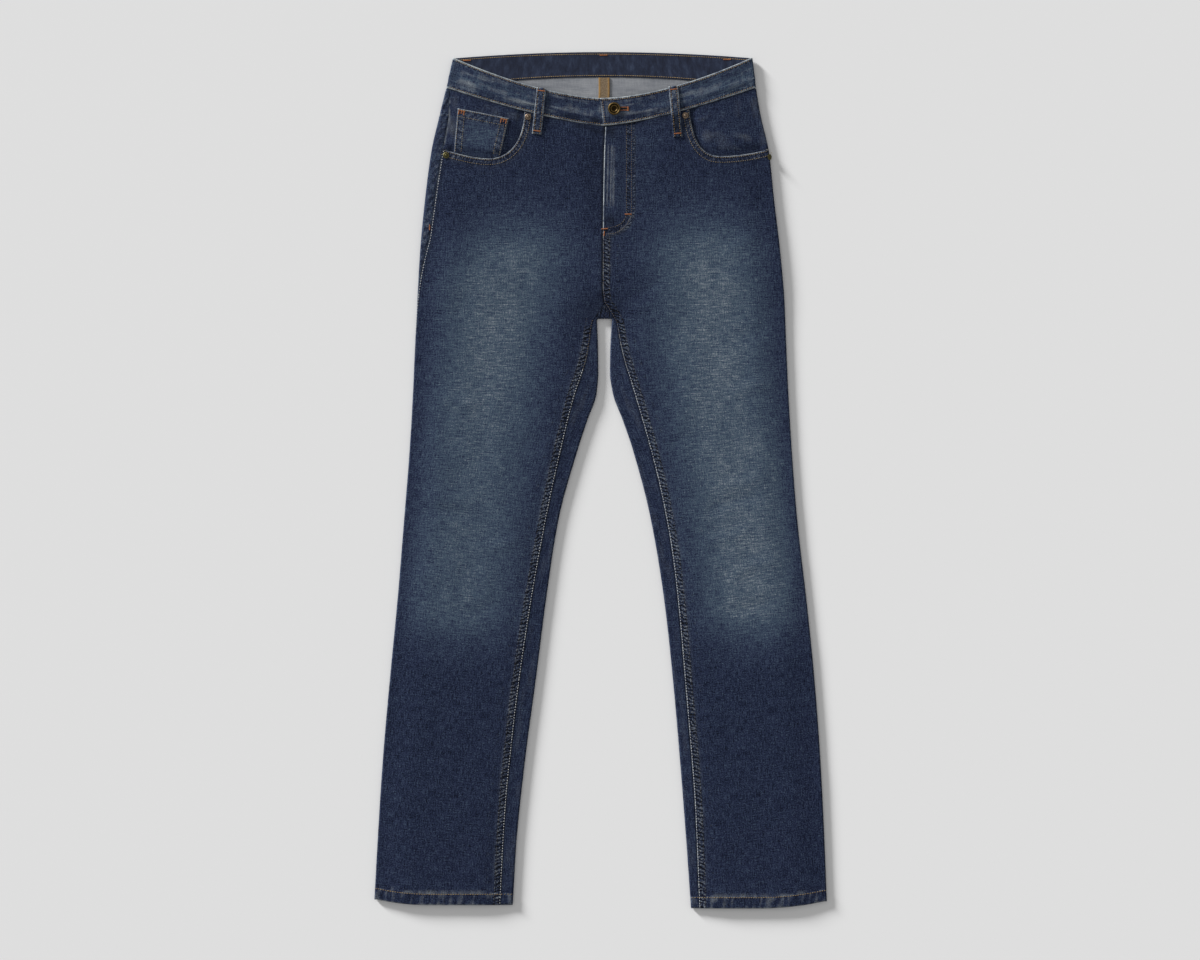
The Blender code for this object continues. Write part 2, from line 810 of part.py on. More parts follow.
def inner_wrap(side, start, outward, seam_point, extra):
    """From the ground round the inner fold and over to the inseam."""
    edge = tuple(s + n * FOLD_OUT for s, n in zip(start, outward))
    arc = [round_fold(edge, outward, QUARTER * k / 2, side) for k in (-2, -1, 0, 1, 2)]
    over = [on_top(side, *p) for p in between(start, seam_point, 2)[1:]]
    return [thicker(p, extra) for p in arc + over]


def outer_wrap(side, y, extra):
    """From the ground round the outer fold to the outseam."""
    end = OUTSEAM[side](y) - HALF_GAP
    cells = WRAP_CELLS[side]
    step = min((end + QUARTER) / cells, 2 * QUARTER / 3)
    cloth = [-QUARTER + step * k for k in range(cells)] + [end]
    return [thicker(outer_fold(side, y, c), extra) for c in cloth]


def make_back(side):
    out = SIDES[side]
    ground, outer, inner = [], [], []

    def add_row(y, start, extra, wrap=None):
        outer_y = outer_height(side, y)
        row = between((ground_x(side, outer_y), outer_y), start, BACK_CELLS)
        if y < LEG_ROWS[0]:
            row = [(x, hem_line(side, x) + (y - HEMS[side][0])) for x, _ in row]
        ground.append([thicker(below(*p), extra) for p in row])
        outer.append([ground[-1][0], *outer_wrap(side, outer_y, extra)[1:]])
        if wrap:
            outward, seam_point = wrap
            inner.append([ground[-1][-1], *inner_wrap(side, row[-1], outward, seam_point, extra)[1:]])

    hem_ys = [HEMS[side][0] + step for step in HEM_ROWS]
    for y in hem_ys + list(LEG_ROWS):
        start = (INNER[side](y) + out * FOLD_OUT, y)
        seam = (INSEAM[side](y) - out * HALF_GAP, y)
        add_row(y, start, hem_extra(y - HEMS[side][0]), ((-out, 0.0), seam))
    for y, (start, outward) in zip(CROTCH_ROWS, crotch_fold(side)):
        seam = (INSEAM[side](y) - out * HALF_GAP, y)
        if y == STAR_Y:
            seam = (SEAT_X + out * HALF_GAP, y - 3 * HALF_GAP)
        add_row(y, start, (0.0, 0.0), (outward, seam))
    seat_low = CROTCH_Y + FOLD_OUT
    for y in SEAT_ROWS + HIP_SIDE_ROWS[1:] + FACING_ROWS[1:3]:
        share = (y - STAR_Y) / (YOKE_SIDE_Y - STAR_Y)
        seat = (SEAT_X + out * HALF_GAP, seat_low + (YOKE_SEAT_Y - seat_low) * share)
        if y < YOKE_SIDE_Y:
            add_row(y, seat, (0.0, 0.0))
    top = [(x, yoke_seam_y(x) - HALF_GAP)
           for x, _ in between((ground_x(side, YOKE_SIDE_Y), 0), (SEAT_X + out * HALF_GAP, 0), BACK_CELLS)]
    ground.append([below(*p) for p in top])
    outer.append(outer_wrap(side, YOKE_SIDE_Y - HALF_GAP, (0.0, 0.0)))
    outer[-1][0] = ground[-1][0]
    wall(f"back_{side}", [ground, outer, inner], DENIM)


def make_yoke(side):
    seat = SEAT_X + SIDES[side] * HALF_GAP
    corner = ground_x(side, band_corner(side, False).y)
    ground = []
    for i in range(YOKE_ROWS):
        v = i / (YOKE_ROWS - 1)
        row = []
        for j in range(BACK_CELLS + 1):
            u = j / BACK_CELLS
            low_x = ground_x(side, YOKE_SIDE_Y) + (seat - ground_x(side, YOKE_SIDE_Y)) * u
            top_x = corner + (seat - corner) * u
            low_y = yoke_seam_y(low_x) + HALF_GAP
            top_y = band_low_y(top_x, back=True) - REST_GAP
            row.append(below(low_x + (top_x - low_x) * v, low_y + (top_y - low_y) * v))
        ground.append(row)
    outer = []
    for i, y in enumerate((YOKE_SIDE_Y + HALF_GAP, YOKE_MIDDLE_Y, BAND_SIDE_Y - REST_GAP)):
        row = outer_wrap(side, y, (0.0, 0.0))
        if i == YOKE_ROWS - 1:
            row = [under_band(p) for p in row]
        row[0] = ground[i][0]
        outer.append(row)
    wall(f"yoke_{side}", [ground, outer], DENIM)


def under_band(point):
    """The same point, moved to the waistband's lower edge."""
    (x, y, z), normal, out, inn = point
    return (x, min(y, band_low_y(x) - REST_GAP), z), normal, out, inn


# What shows in the front pocket mouths


def drop(side, x, y, tucked=False):
    """How much lower than the front the facing lies, near the mouth and under it."""
    inside = SIDES[side] * (flat_x(side, y) - x)
    along = ease(inside / DROP_FADE)
    if tucked:
        return DROP * along
    return DROP * along * (1 - ease((from_line(mouth_points(side), x, y) - DROP_NEAR) / DROP_FADE))


def facing_middle(side, x, y):
    return front_middle(side, x, y) - fly_shift(side, x, y) - drop(side, x, y)


def make_facing(side):
    """The hip facing: from the waistband and the outseam to just under the front's pocket mouth."""
    out = SIDES[side]
    mouth = mouth_points(side)
    half = FACING_CLOTH / 2
    start_x = flat_x(side, BAND_SIDE_Y - REST_GAP)
    end_x = mouth[-1][0] + out * FACING_REACH
    grid = []
    for share, (mx, my) in zip(MOUTH_STEPS, mouth):
        if share == 1.0:
            my = band_low_y(mx) - REST_GAP
        top_x = start_x + (end_x - start_x) * share
        top = (top_x, band_low_y(top_x) - REST_GAP)
        low = (mx, my + (FACING_ABOVE if share < TUCK_FROM else 0.0))
        if share == 0.0:
            line = [(flat_x(side, y), y) for y in FACING_ROWS[:0:-1]]
            line = [top, *line, low]
        else:
            line = [at_share([top, low], k / FACING_CELLS) for k in range(FACING_CELLS + 1)]
        column = [on_top(side, *p, facing_middle, half, half) for p in line]
        tuck = TUCK_UNDER if share > TUCK_FROM else 0.0
        if share == 1.0:
            end = (mx - out * tuck, band_low_y(mx - out * tuck) - REST_GAP)
        else:
            end = beyond(mouth, share, low, tuck, out)
        z = front_middle(side, *end) - fly_shift(side, *end) - drop(side, *end, tucked=True)
        column.append(((*end, z), (0.0, 0.0, 1.0), half, half))
        grid.append(column)
    outer = []
    for k, (x, y) in enumerate([p[0][:2] for p in grid[0][:-1]]):
        last = OUTSEAM[side](y) + HALF_GAP
        first = flat_from(side, y)
        row = [outer_fold(side, y, first + (last - first) * s / 3) for s in range(4)]
        row = [(p[0], p[1], half, half) for p in row]
        if k == 0:
            row = [under_band(p) for p in row]
        row[0] = grid[0][k]
        outer.append(row)
    wall(f"pocket_facing_{side}", [grid, outer], DENIM)


def beyond(mouth, share, place, far, out):
    """The end of the facing's line at a share of the mouth: past the mouth by far, square to it."""
    k = MOUTH_STEPS.index(share)
    a, b = mouth[max(0, k - 1)], mouth[min(len(mouth) - 1, k + 1)]
    along = Vector((b[0] - a[0], b[1] - a[1])).normalized()
    square = Vector((-along.y, along.x)) * out
    if far == 0.0:
        return place[0], place[1] - 0.4
    return place[0] + square.x * far, place[1] + square.y * far


def mouth_y(side, x):
    """y of the mouth's line at x, on its low stretch."""
    points = mouth_points(side)
    for (ax, ay), (bx, by) in zip(points, points[1:]):
        if min(ax, bx) <= x <= max(ax, bx):
            return ay + (by - ay) * (x - ax) / (bx - ax)
    return points[0][1]


def make_coin_pocket():
    """The small pocket in the right one, down to the front's pocket mouth."""
    side = "right"
    top = between(*COIN_TOP, COIN_ACROSS)
    first, last = ((x, 0) for x in COIN_LOW_X)
    low = [(x, mouth_y(side, x) + COIN_ABOVE) for x, _ in between(first, last, COIN_ACROSS)]
    left = between(low[0], top[0], COIN_UP)
    right = between(low[-1], top[-1], COIN_UP)
    raised = FACING_CLOTH / 2 + REST_GAP + COIN_RAISED + COIN_CLOTH / 2
    half = COIN_CLOTH / 2

    def level(side, x, y):
        return facing_middle(side, x, y) + raised

    grid = [[on_top(side, *p, level, half, half) for p in row] for row in coons(low, top, left, right)]
    wall("coin_pocket", [grid], DENIM)


# Belt loops, the tape of the seat seam and the back pockets

FRONT_LOOPS = {
    "belt_loop_front_right": ((-80.1, 532.3), (-86.7, 469.6)),
    "belt_loop_front_left": ((98.8, 534.7), (105.0, 465.7)),
}
BACK_LOOPS = {
    "belt_loop_back_right": -181.0,
    "belt_loop_back_middle": 4.5,
    "belt_loop_back_left": 176.0,
}


def loop_floor(side, x, y):
    """Height of what a front loop lies on: the band, then the front below it."""
    if y > band_low_y(x) - LOOP_REACH:
        return band_top_z(x, y)
    return front_top(side, x, y)


def make_front_loop(name, ends):
    top, low = (Vector(p) for p in ends)
    side = side_of(top.x)
    across = Vector((low.y - top.y, top.x - low.x)).normalized() * LOOP_WIDE / 2
    half = LOOP_CLOTH / 2
    grid = []
    for share in LOOP_SHARES:
        middle = top.lerp(low, share)
        spots = [middle + across * k for k in (-1, 0, 1)]
        floor = max(loop_floor(side, s.x, s.y) for s in spots)
        arch = LOOP_ARCH * math.sin(math.pi * min(1.0, share / LOOP_FLAT_FROM))
        z = floor + REST_GAP + arch + half
        grid.append([((s.x, s.y, z), (0.0, 0.0, 1.0), half, half) for s in spots])
    wall(name, [grid], DENIM)


def slab(name, outline, low, high, finish):
    """A flat piece between two heights. The outline runs anticlockwise."""
    count = len(outline)
    corners = [(x, y, z) for z in (low, high) for x, y in outline]
    faces = [tuple(reversed(range(count))), tuple(range(count, 2 * count))]
    faces += [(k, (k + 1) % count, (k + 1) % count + count, k + count) for k in range(count)]
    return solid(name, corners, faces, finish)


def make_back_loop(name, x):
    side = side_of(x)
    share = (x - SEAT_X) / (band_corner(side, True).x - SEAT_X)
    top = band_edge(side, share, True, True)[1] - BACK_LOOP_BELOW
    low = top - BACK_LOOP_LONG
    half = LOOP_WIDE / 2
    outline = [(x - half, low), (x + half, low), (x + half, top), (x - half, top)]
    slab(name, outline, 0.0, PATCH_CLOTH, DENIM)


def make_back_pocket(side):
    """A five-sided patch on the outside of the back."""
    out = SIDES[side]
    middle = SEAT_X + out * POCKET_OFF
    outline = [
        (middle - out * POCKET_HALF_TOP, POCKET_TOP_Y - POCKET_TILT),
        (middle - out * POCKET_HALF_LOW, POCKET_SIDE_Y - POCKET_TILT),
        (middle, POCKET_POINT_Y),
        (middle + out * POCKET_HALF_LOW, POCKET_SIDE_Y + POCKET_TILT),
        (middle + out * POCKET_HALF_TOP, POCKET_TOP_Y + POCKET_TILT),
    ]
    slab(f"back_pocket_{side}", outline[:: int(out)], 0.0, PATCH_CLOTH, DENIM)


def make_seat_tape():
    """The strip that covers the seat seam inside, down to where the front hides it."""
    half = PATCH_CLOTH / 2
    xs = [TAPE_X + TAPE_WIDE * k / 2 for k in (-1, 0, 1)]
    grid = []
    for y in TAPE_ROWS:
        z = lift(y) + CLOTH + REST_GAP + half
        grid.append([((x, y, z), (0.0, 0.0, 1.0), half, half) for x in xs])
    wall("seat_seam_tape", [grid], SEAM_TAPE)


# Metal


def turned(name, at, profile, steps, tilt=0.0):
    """A solid turned round a line. The profile runs from the axis at the bottom to the axis at the top."""
    shape = bmesh.new()
    x, y, z = (c * MM for c in at)
    line = [shape.verts.new((x + r * MM, y, z + h * MM)) for r, h in profile]
    edges = [shape.edges.new(pair) for pair in zip(line, line[1:])]
    bmesh.ops.spin(shape, geom=line + edges, cent=(x, y, z), axis=(0, 0, 1), angle=2 * math.pi, steps=steps)
    bmesh.ops.remove_doubles(shape, verts=shape.verts, dist=0.00001)
    bmesh.ops.recalc_face_normals(shape, faces=shape.faces)
    bmesh.ops.rotate(shape, verts=shape.verts, cent=(x, y, z), matrix=Matrix.Rotation(tilt, 3, "Y"))
    mesh = bpy.data.meshes.new(name)
    shape.to_mesh(mesh)
    shape.free()
    add_object(name, mesh, OLD_BRASS)


def highest(level, at, radius):
    """The highest of a surface under a round piece."""
    angles = [k * math.pi / 4 for k in range(8)]
    ring = [(at[0] + radius * math.cos(a), at[1] + radius * math.sin(a)) for a in angles]
    return max(level(*p) for p in ring + [at])


def make_button():
    """A tack button: its shank stands on the right end of the band and its head lies on the left end."""
    x, y = BUTTON_AT
    head = highest(band_top_z, BUTTON_AT, BUTTON_R) + REST_GAP
    foot = band_middle_z("right", x, y) + BAND_CLOTH / 2 + REST_GAP - head
    profile = (
        (0.0, foot), (SHANK_R, foot), (SHANK_R, 0.0), (BUTTON_R - 0.3, 0.0), (BUTTON_R, 0.5),
        (BUTTON_R - 0.4, 1.4), (BUTTON_R - 1.7, 2.1), (BUTTON_R - 3.2, 1.9), (BUTTON_R - 4.6, 1.0),
        (0.0, 0.8),
    )
    turned("button", (x, y, head), profile, BUTTON_STEPS)


RIVETS = {
    "rivet_mouth_right": (-98.2, 493.0),
    "rivet_side_right": (-209.6, 440.8),
    "rivet_mouth_left": (115.2, 494.8),
}
RIVET_PROFILE = (
    (0.0, 0.0), (RIVET_R, 0.0), (RIVET_R, 0.3), (RIVET_R - 0.9, 0.9), (1.6, 1.0), (1.2, 1.4), (0.0, 1.6),
)
FOLD_RIVET_Y = 438.8
FOLD_RIVET_TURN = math.radians(42)


def make_rivet(name, at):
    side = side_of(at[0])
    top = highest(lambda x, y: front_top(side, x, y), at, RIVET_R) + REST_GAP
    turned(name, (*at, top), RIVET_PROFILE, RIVET_STEPS)


def make_fold_rivet():
    """The left pocket mouth ends on the side fold, so its rivet leans out there."""
    (x, y, z), normal, out, _ = outer_fold("left", FOLD_RIVET_Y, FOLD * FOLD_RIVET_TURN)
    far = out + REST_GAP
    at = (x + normal[0] * far, y, z + normal[2] * far)
    turned("rivet_side_left", at, RIVET_PROFILE, RIVET_STEPS, tilt=math.pi / 2 - FOLD_RIVET_TURN)


def main():
    for old in list(bpy.data.objects):
        bpy.data.objects.remove(old)
    for side in SIDES:
        make_front(side)
        make_back(side)
        make_yoke(side)
        make_facing(side)
        make_back_pocket(side)
    make_waistband()
    make_coin_pocket()
    for name, ends in FRONT_LOOPS.items():
        make_front_loop(name, ends)
    for name, x in BACK_LOOPS.items():
        make_back_loop(name, x)
    make_seat_tape()
    make_button()
    for name, at in RIVETS.items():
        make_rivet(name, at)
    make_fold_rivet()


main()
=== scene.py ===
"""The looks of slim jeans laid out flat, front up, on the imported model. Sizes here are in millimetres."""

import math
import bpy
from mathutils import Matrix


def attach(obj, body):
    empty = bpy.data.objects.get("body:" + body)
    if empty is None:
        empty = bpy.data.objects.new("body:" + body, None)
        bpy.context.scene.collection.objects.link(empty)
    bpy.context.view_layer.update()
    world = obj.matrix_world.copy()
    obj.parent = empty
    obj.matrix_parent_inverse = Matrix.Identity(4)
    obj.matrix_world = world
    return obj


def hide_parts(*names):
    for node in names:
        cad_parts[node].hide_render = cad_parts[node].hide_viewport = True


bl_info = {
    "name": "Slim jeans",
    "version": (1, 0, 0),
    "blender": (4, 5, 0),
    "location": "3D Viewport > Sidebar > Jeans",
    "description": "Washed denim, stitching and metal for jeans laid out flat",
    "category": "Object",
}

import bpy
import numpy as np
from mathutils import Vector
from mathutils.geometry import delaunay_2d_cdt
from mathutils.kdtree import KDTree

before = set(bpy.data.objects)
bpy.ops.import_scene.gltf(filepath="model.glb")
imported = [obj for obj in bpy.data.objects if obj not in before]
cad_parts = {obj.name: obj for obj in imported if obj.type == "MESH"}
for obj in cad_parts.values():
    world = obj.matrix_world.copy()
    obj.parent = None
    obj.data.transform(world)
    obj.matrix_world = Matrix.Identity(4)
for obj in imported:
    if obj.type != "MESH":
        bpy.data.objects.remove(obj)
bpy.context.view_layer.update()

MM = 0.001
ROW_STEP = 1.9

# Thicknesses of the cloth and the spaces between its layers, as in the solids
CLOTH = 1.2
BAND_CLOTH = 2.0
FACING_CLOTH = 0.9
COIN_CLOTH = 0.8
LOOP_CLOTH = 1.3
PATCH_CLOTH = 0.9
HALF_GAP = 0.15
REST_GAP = 0.3
BAND_GAP = 0.45
EDGE_ROOM = 1.8
MID_ROOM = 3.6
ROOM_RISE = 45.0
FOLD = (CLOTH + EDGE_ROOM) / 2
FOLD_OUT = FOLD + CLOTH / 2
QUARTER = FOLD * math.pi / 2
HIP_LIFT = PATCH_CLOTH + REST_GAP
LIFT_FROM = 190.0
LIFT_TO = 290.0

# The crotch
SEAT_X = 5.5
CROTCH_Y = 219.0
CROTCH_ROUND = 2.0
STAR_Y = 241.0
TURN_FROM = 213.0
TURN_TO = 226.0

# The waistband, laid flat: its edges at the middle, their curves, its side folds and its ends
BAND_FRONT_LOW = 481.0
BAND_FRONT_TOP = 518.5
BAND_BACK_LOW = 547.5
BAND_BACK_TOP = 581.5
BAND_CURVE_FRONT = (1.4, 1.65)
BAND_CURVE_BACK = (2.2, 2.0)
BAND_SIDE_ROWS = (533, 575)
BAND_SIDE_ENDS = (532.5, 573.5)
BAND_SIDE_Y = 532.0
BAND_HIGH = 36.0
BAND_END_X = 3.9
BAND_END_LEAN = 4.3
BAND_END_SHARE = 0.12
BAND_ROW_SHIFT = 2.2 - SEAT_X + 3.0
BAND_PROUD = 0.5
BAND_FOLD = (EDGE_ROOM + 2 * CLOTH + BAND_PROUD - BAND_CLOTH) / 2
BAND_FOLD_OUT = BAND_FOLD + BAND_CLOTH / 2
BAND_END_UP = 1.1
BAND_END_DOWN = BAND_CLOTH + REST_GAP - BAND_END_UP
BAND_END_FLAT = 34.0
BAND_END_WIDTH = 60.0
YOKE_SIDE_Y = 495.0
YOKE_SEAT_Y = 473.0

# The fly: the wearer's left front lies on the right front
FLY_UP = 0.7
FLY_DOWN = CLOTH + REST_GAP - FLY_UP
FLY_FOOT = 325.0
FLY_FULL = 343.0
FLY_FLAT = 16.0
FLY_WIDTH = 30.0
FLY_UNDER = 12.0
FLY_UNDER_FULL = 356.0
TUCK_FLAT = 4.0
TUCK_WIDTH = 22.0

# Hems and the pieces on the panels
HEM_HIGH = 15.5
HEM_PROUD = 0.4
HEM_INSIDE = 0.3
DROP = FACING_CLOTH + 0.5 + (CLOTH - FACING_CLOTH) / 2
TUCK_UNDER = 12.0
LOOP_WIDE = 13.0
LOOP_ARCH = 1.0
TAPE_WIDE = 15.0
BUTTON_AT = (18.6, 503.9)
BUTTON_R = 8.7
SHANK_R = 2.2
EYE_R = 3.0
SLOT_LONG = 22.0
SLOT_HALF = 1.4
CUT_BELOW = 1.25
CUT_ABOVE = 3.0
RIVET_R = 4.4

# Widths of the sewn bands
FELL_WIDE = 10.0
MOUTH_WIDE = 9.5
COIN_TOP_HEM = 12.0
COIN_SIDE_BAND = 11.0

SIDES = {"right": -1.0, "left": 1.0}
HEMS = {"right": (-577.5, 7.5, -232.0), "left": (-582.0, 9.5, 215.0)}


def ease(t):
    """0 below 0, 1 above 1 and a smooth step between."""
    t = np.clip(t, 0.0, 1.0)
    return t * t * (3 - 2 * t)


def bump(t):
    """A soft bump, 1 at 0 and gone by about 2 on either side."""
    return np.exp(-t * t)


def stacked(*parts):
    """Arrays side by side as the columns of one."""
    return np.stack(np.broadcast_arrays(*parts), axis=-1)


def smooth_curve(xs, ys):
    """A curve through the points that never swings past them. The xs rise."""
    xs, ys = np.array(xs, float), np.array(ys, float)
    steps = np.diff(ys) / np.diff(xs)
    before, after = steps[:-1], steps[1:]
    same_way = before * after > 0
    inner = np.where(same_way, 2 * before * after / np.where(same_way, before + after, 1.0), 0.0)
    slopes = np.concatenate(([steps[0]], inner, [steps[-1]]))

    def value(x):
        x = np.clip(x, xs[0], xs[-1])
        i = np.clip(np.searchsorted(xs, x, side="right") - 1, 0, len(xs) - 2)
        width = xs[i + 1] - xs[i]
        t = (x - xs[i]) / width
        return (
            (2 * t**3 - 3 * t**2 + 1) * ys[i]
            + (t**3 - 2 * t**2 + t) * width * slopes[i]
            + (3 * t**2 - 2 * t**3) * ys[i + 1]
            + (t**3 - t**2) * width * slopes[i + 1]
        )

    return value


def table(names, *rows):
    """One curve over y for each named column. The first column is y, and the rows go down the garment."""
    names = names.split()
    rows = rows[::-1]
    ys = [row[0] for row in rows]
    return {name: smooth_curve(ys, [row[k] for row in rows]) for k, name in enumerate(names) if k}


# x of the outer folds
OUTER = table(
    "y right left",
    (575, -200.5, 206.5), (533, -209.5, 211.5), (511, -215.0, 215.0), (490, -220.0, 219.0),
    (449, -229.5, 228.5), (381, -238.5, 236.0), (313, -245.0, 244.0), (245, -249.0, 250.0),
    (184, -252.0, 252.5), (117, -255.0, 255.5), (41, -259.5, 260.0), (-54, -267.0, 267.5),
    (-163, -276.0, 280.0), (-272, -286.5, 291.0), (-381, -296.0, 299.0), (-490, -303.0, 304.5),
    (-582, -308.0, 308.0),
)

# x of the inner folds, from the top of the space between the legs down
INNER = table(
    "y right left",
    (219, -4.8, 15.6), (184, -3.5, 13.5), (147, -3.0, 12.8), (117, -5.5, 17.0), (82, -17.5, 30.0),
    (41, -31.0, 44.0), (-54, -57.0, 68.5), (-163, -74.0, 86.5), (-272, -88.0, 98.5), (-381, -102.5, 108.0),
    (-490, -114.0, 116.5), (-582, -119.5, 123.0),
)

# x of the inseams on the front, from the star seam down
INSEAM = table(
    "y right left",
    (241, 5.5, 5.5), (226, -4.5, 15.0), (213, -11.0, 21.8), (190, -14.5, 26.0), (166, -18.5, 31.5),
    (113, -35.5, 47.5), (45, -52.5, 67.0), (-20, -67.0, 83.0), (-100, -82.5, 97.5), (-178, -96.0, 106.5),
    (-300, -113.5, 117.0), (-371, -121.5, 123.0), (-430, -127.5, 127.5), (-490, -131.5, 130.5),
    (-582, -136.0, 134.0),
)

# Where the outseams run: cloth from the outermost line of the fold, and more than 0 on the front
OUTSEAM = table(
    "y right left",
    (533, 5.5, -0.9), (511, 9.0, -0.9), (490, 13.5, -0.9), (449, 15.5, -0.9), (381, 14.0, -0.9),
    (330, 12.0, -0.9), (305, 7.5, -0.9), (275, 3.0, -0.9), (245, 0.5, -0.9), (180, -0.8, -0.9),
    (-582, -1.1, -0.9),
)

# The edge of the fly and, under it, the seam down the middle of the front
FRONT_LINE = table(
    "y x",
    (525, 7.5), (481, 6.5), (442, 4.8), (341, 3.2), (262, 3.0), (241, 5.5),
)["x"]

# Bezier corners of the front pocket mouths, from the outseam to the waistband
MOUTHS = {
    "right": ((-213.5, 448.5), (-195.0, 444.0), (-172.0, 436.0), (-150.0, 436.5),
              (-120.0, 437.5), (-103.5, 466.0), (-103.5, 500.0)),
    "left": ((230.5, 449.5), (211.0, 444.5), (186.0, 439.0), (160.0, 439.8),
             (131.0, 441.0), (123.5, 474.0), (120.5, 503.5)),
}

# The rows of stitches that hold the fly: down from the waistband, then round to its edge
FLY_ROWS = {
    "outer": ((42.2, 485.5), (42.2, 430.0), (42.2, 361.0), (39.4, 353.5), (32.5, 343.4), (20.4, 335.6),
              (8.3, 333.9)),
    "inner": ((35.2, 485.5), (35.2, 430.0), (35.2, 362.5), (31.7, 352.2), (23.8, 345.4), (8.3, 341.6)),
}

# The pale wash down the thighs and over the knees: its middle line, half its width and how strong it is
WASH = {
    "right": table(
        "y middle half strength",
        (440, -112.0, 70.0, 0.0), (390, -112.0, 70.0, 0.10), (345, -113.0, 74.0, 0.40),
        (313, -118.0, 80.0, 0.70), (258, -137.0, 80.0, 0.86), (204, -144.0, 70.0, 0.86),
        (150, -154.0, 70.0, 0.88), (95, -160.0, 72.0, 0.80), (41, -166.0, 72.0, 0.72),
        (-14, -171.0, 74.0, 0.66), (-68, -180.0, 76.0, 0.67), (-122, -187.0, 72.0, 0.70),
        (-177, -192.0, 72.0, 0.64), (-205, -192.0, 72.0, 0.40), (-232, -190.0, 72.0, 0.18),
        (-270, -190.0, 70.0, 0.02), (-330, -190.0, 70.0, 0.0),
    ),
    "left": table(
        "y middle half strength",
        (440, 146.0, 66.0, 0.0), (390, 146.0, 68.0, 0.12), (345, 145.0, 70.0, 0.46),
        (313, 144.0, 74.0, 0.78), (258, 150.0, 72.0, 0.86), (204, 150.0, 80.0, 0.84),
        (150, 158.0, 76.0, 0.84), (95, 167.0, 76.0, 0.84), (41, 178.0, 76.0, 0.86),
        (-14, 184.0, 74.0, 0.84), (-68, 194.0, 78.0, 0.84), (-122, 202.0, 70.0, 0.90),
        (-177, 203.0, 64.0, 0.80), (-205, 204.0, 62.0, 0.46), (-232, 204.0, 62.0, 0.20),
        (-270, 204.0, 62.0, 0.02), (-330, 204.0, 62.0, 0.0),
    ),
}

# How far the weft leans from level in the lower legs, in degrees, up towards the wearer's left
LEAN = {"right": -5.5, "left": 6.5}

# Creases laid one by one: from and to, half the width, and the height of a ridge or the depth of a trough
CREASES = {
    "right": (
        (-58, 479, -8, 468, 2.6, -0.55), (-52, 474, -14, 462, 3.4, 0.35), (-96, 452, -62, 402, 7.0, 0.35),
        (-60, 300, -12, 262, 7.0, 0.45), (-88, 286, -20, 244, 6.0, -0.45), (-70, 250, -22, 214, 7.0, 0.40),
        (-214, 330, -150, 300, 9.0, 0.30), (-232, 230, -172, 216, 10.0, -0.30),
        (-236, 120, -150, 104, 9.0, 0.40), (-110, 60, -72, 36, 8.0, -0.35),
        (-250, -12, -168, -30, 9.0, 0.45), (-246, -42, -150, -66, 7.0, -0.45),
        (-180, -92, -96, -74, 8.0, 0.45), (-262, -128, -196, -146, 8.0, 0.40),
        (-210, -180, -120, -160, 9.0, -0.40), (-270, -262, -206, -250, 10.0, 0.35),
        (-230, -340, -150, -352, 12.0, -0.30), (-280, -420, -220, -440, 10.0, 0.35),
        (-170, -480, -148, -540, 10.0, 0.30), (-238, 20, -214, -230, 14.0, 0.35),
        (-120, 150, -134, -60, 15.0, 0.30),
    ),
    "left": (
        (48, 471, 84, 476, 3.0, 0.50), (46, 463, 92, 470, 3.5, -0.45), (96, 440, 66, 396, 7.0, 0.30),
        (30, 268, 78, 300, 7.0, 0.45), (26, 246, 92, 280, 6.0, -0.45), (34, 214, 88, 246, 7.0, 0.40),
        (222, 336, 166, 300, 9.0, 0.30), (236, 214, 178, 198, 9.0, -0.35), (240, 130, 160, 108, 9.0, 0.40),
        (92, 40, 130, 62, 8.0, -0.35), (150, -8, 236, 14, 8.0, 0.40), (132, -52, 240, -24, 7.0, -0.45),
        (126, -84, 214, -60, 8.0, 0.45), (170, -136, 258, -112, 7.0, 0.45),
        (160, -178, 250, -152, 8.0, -0.40), (210, -262, 272, -246, 10.0, 0.35),
        (150, -350, 226, -330, 12.0, -0.30), (228, -440, 286, -424, 10.0, 0.35),
        (150, -520, 168, -470, 10.0, 0.30), (236, 10, 250, -220, 14.0, 0.35),
        (118, 150, 140, -60, 15.0, 0.30),
    ),
}

# The same for the hidden backs, where every one is a trough so that the cloth still lies on the ground
BACK_CREASES = {
    "right": (
        (-40, 236, -120, 196, 7.0, -0.45), (-34, 214, -96, 150, 8.0, -0.40),
        (-236, 60, -160, 40, 9.0, -0.45), (-90, 24, -170, 2, 8.0, -0.40),
        (-250, -30, -150, -52, 8.0, -0.45), (-110, -80, -210, -100, 9.0, -0.45),
        (-262, -150, -180, -160, 10.0, -0.35), (-120, -300, -220, -322, 12.0, -0.35),
        (-190, -440, -270, -428, 12.0, -0.30), (-150, 180, -170, -120, 15.0, -0.35),
    ),
    "left": (
        (48, 236, 126, 200, 7.0, -0.45), (44, 210, 104, 156, 8.0, -0.40), (240, 74, 166, 48, 9.0, -0.45),
        (104, 14, 178, -6, 8.0, -0.40), (254, -24, 158, -46, 8.0, -0.45), (120, -92, 214, -76, 9.0, -0.45),
        (264, -142, 186, -168, 10.0, -0.35), (126, -310, 226, -290, 12.0, -0.35),
        (196, -452, 276, -436, 12.0, -0.30), (160, 170, 176, -130, 15.0, -0.35),
    ),
}


def lattice(x, y, seed):
    """A number from -1 to 1 for each whole point."""
    wild = np.sin(x * 127.1 + y * 311.7 + seed * 74.7) * 43758.5453
    return 2 * (wild - np.floor(wild)) - 1


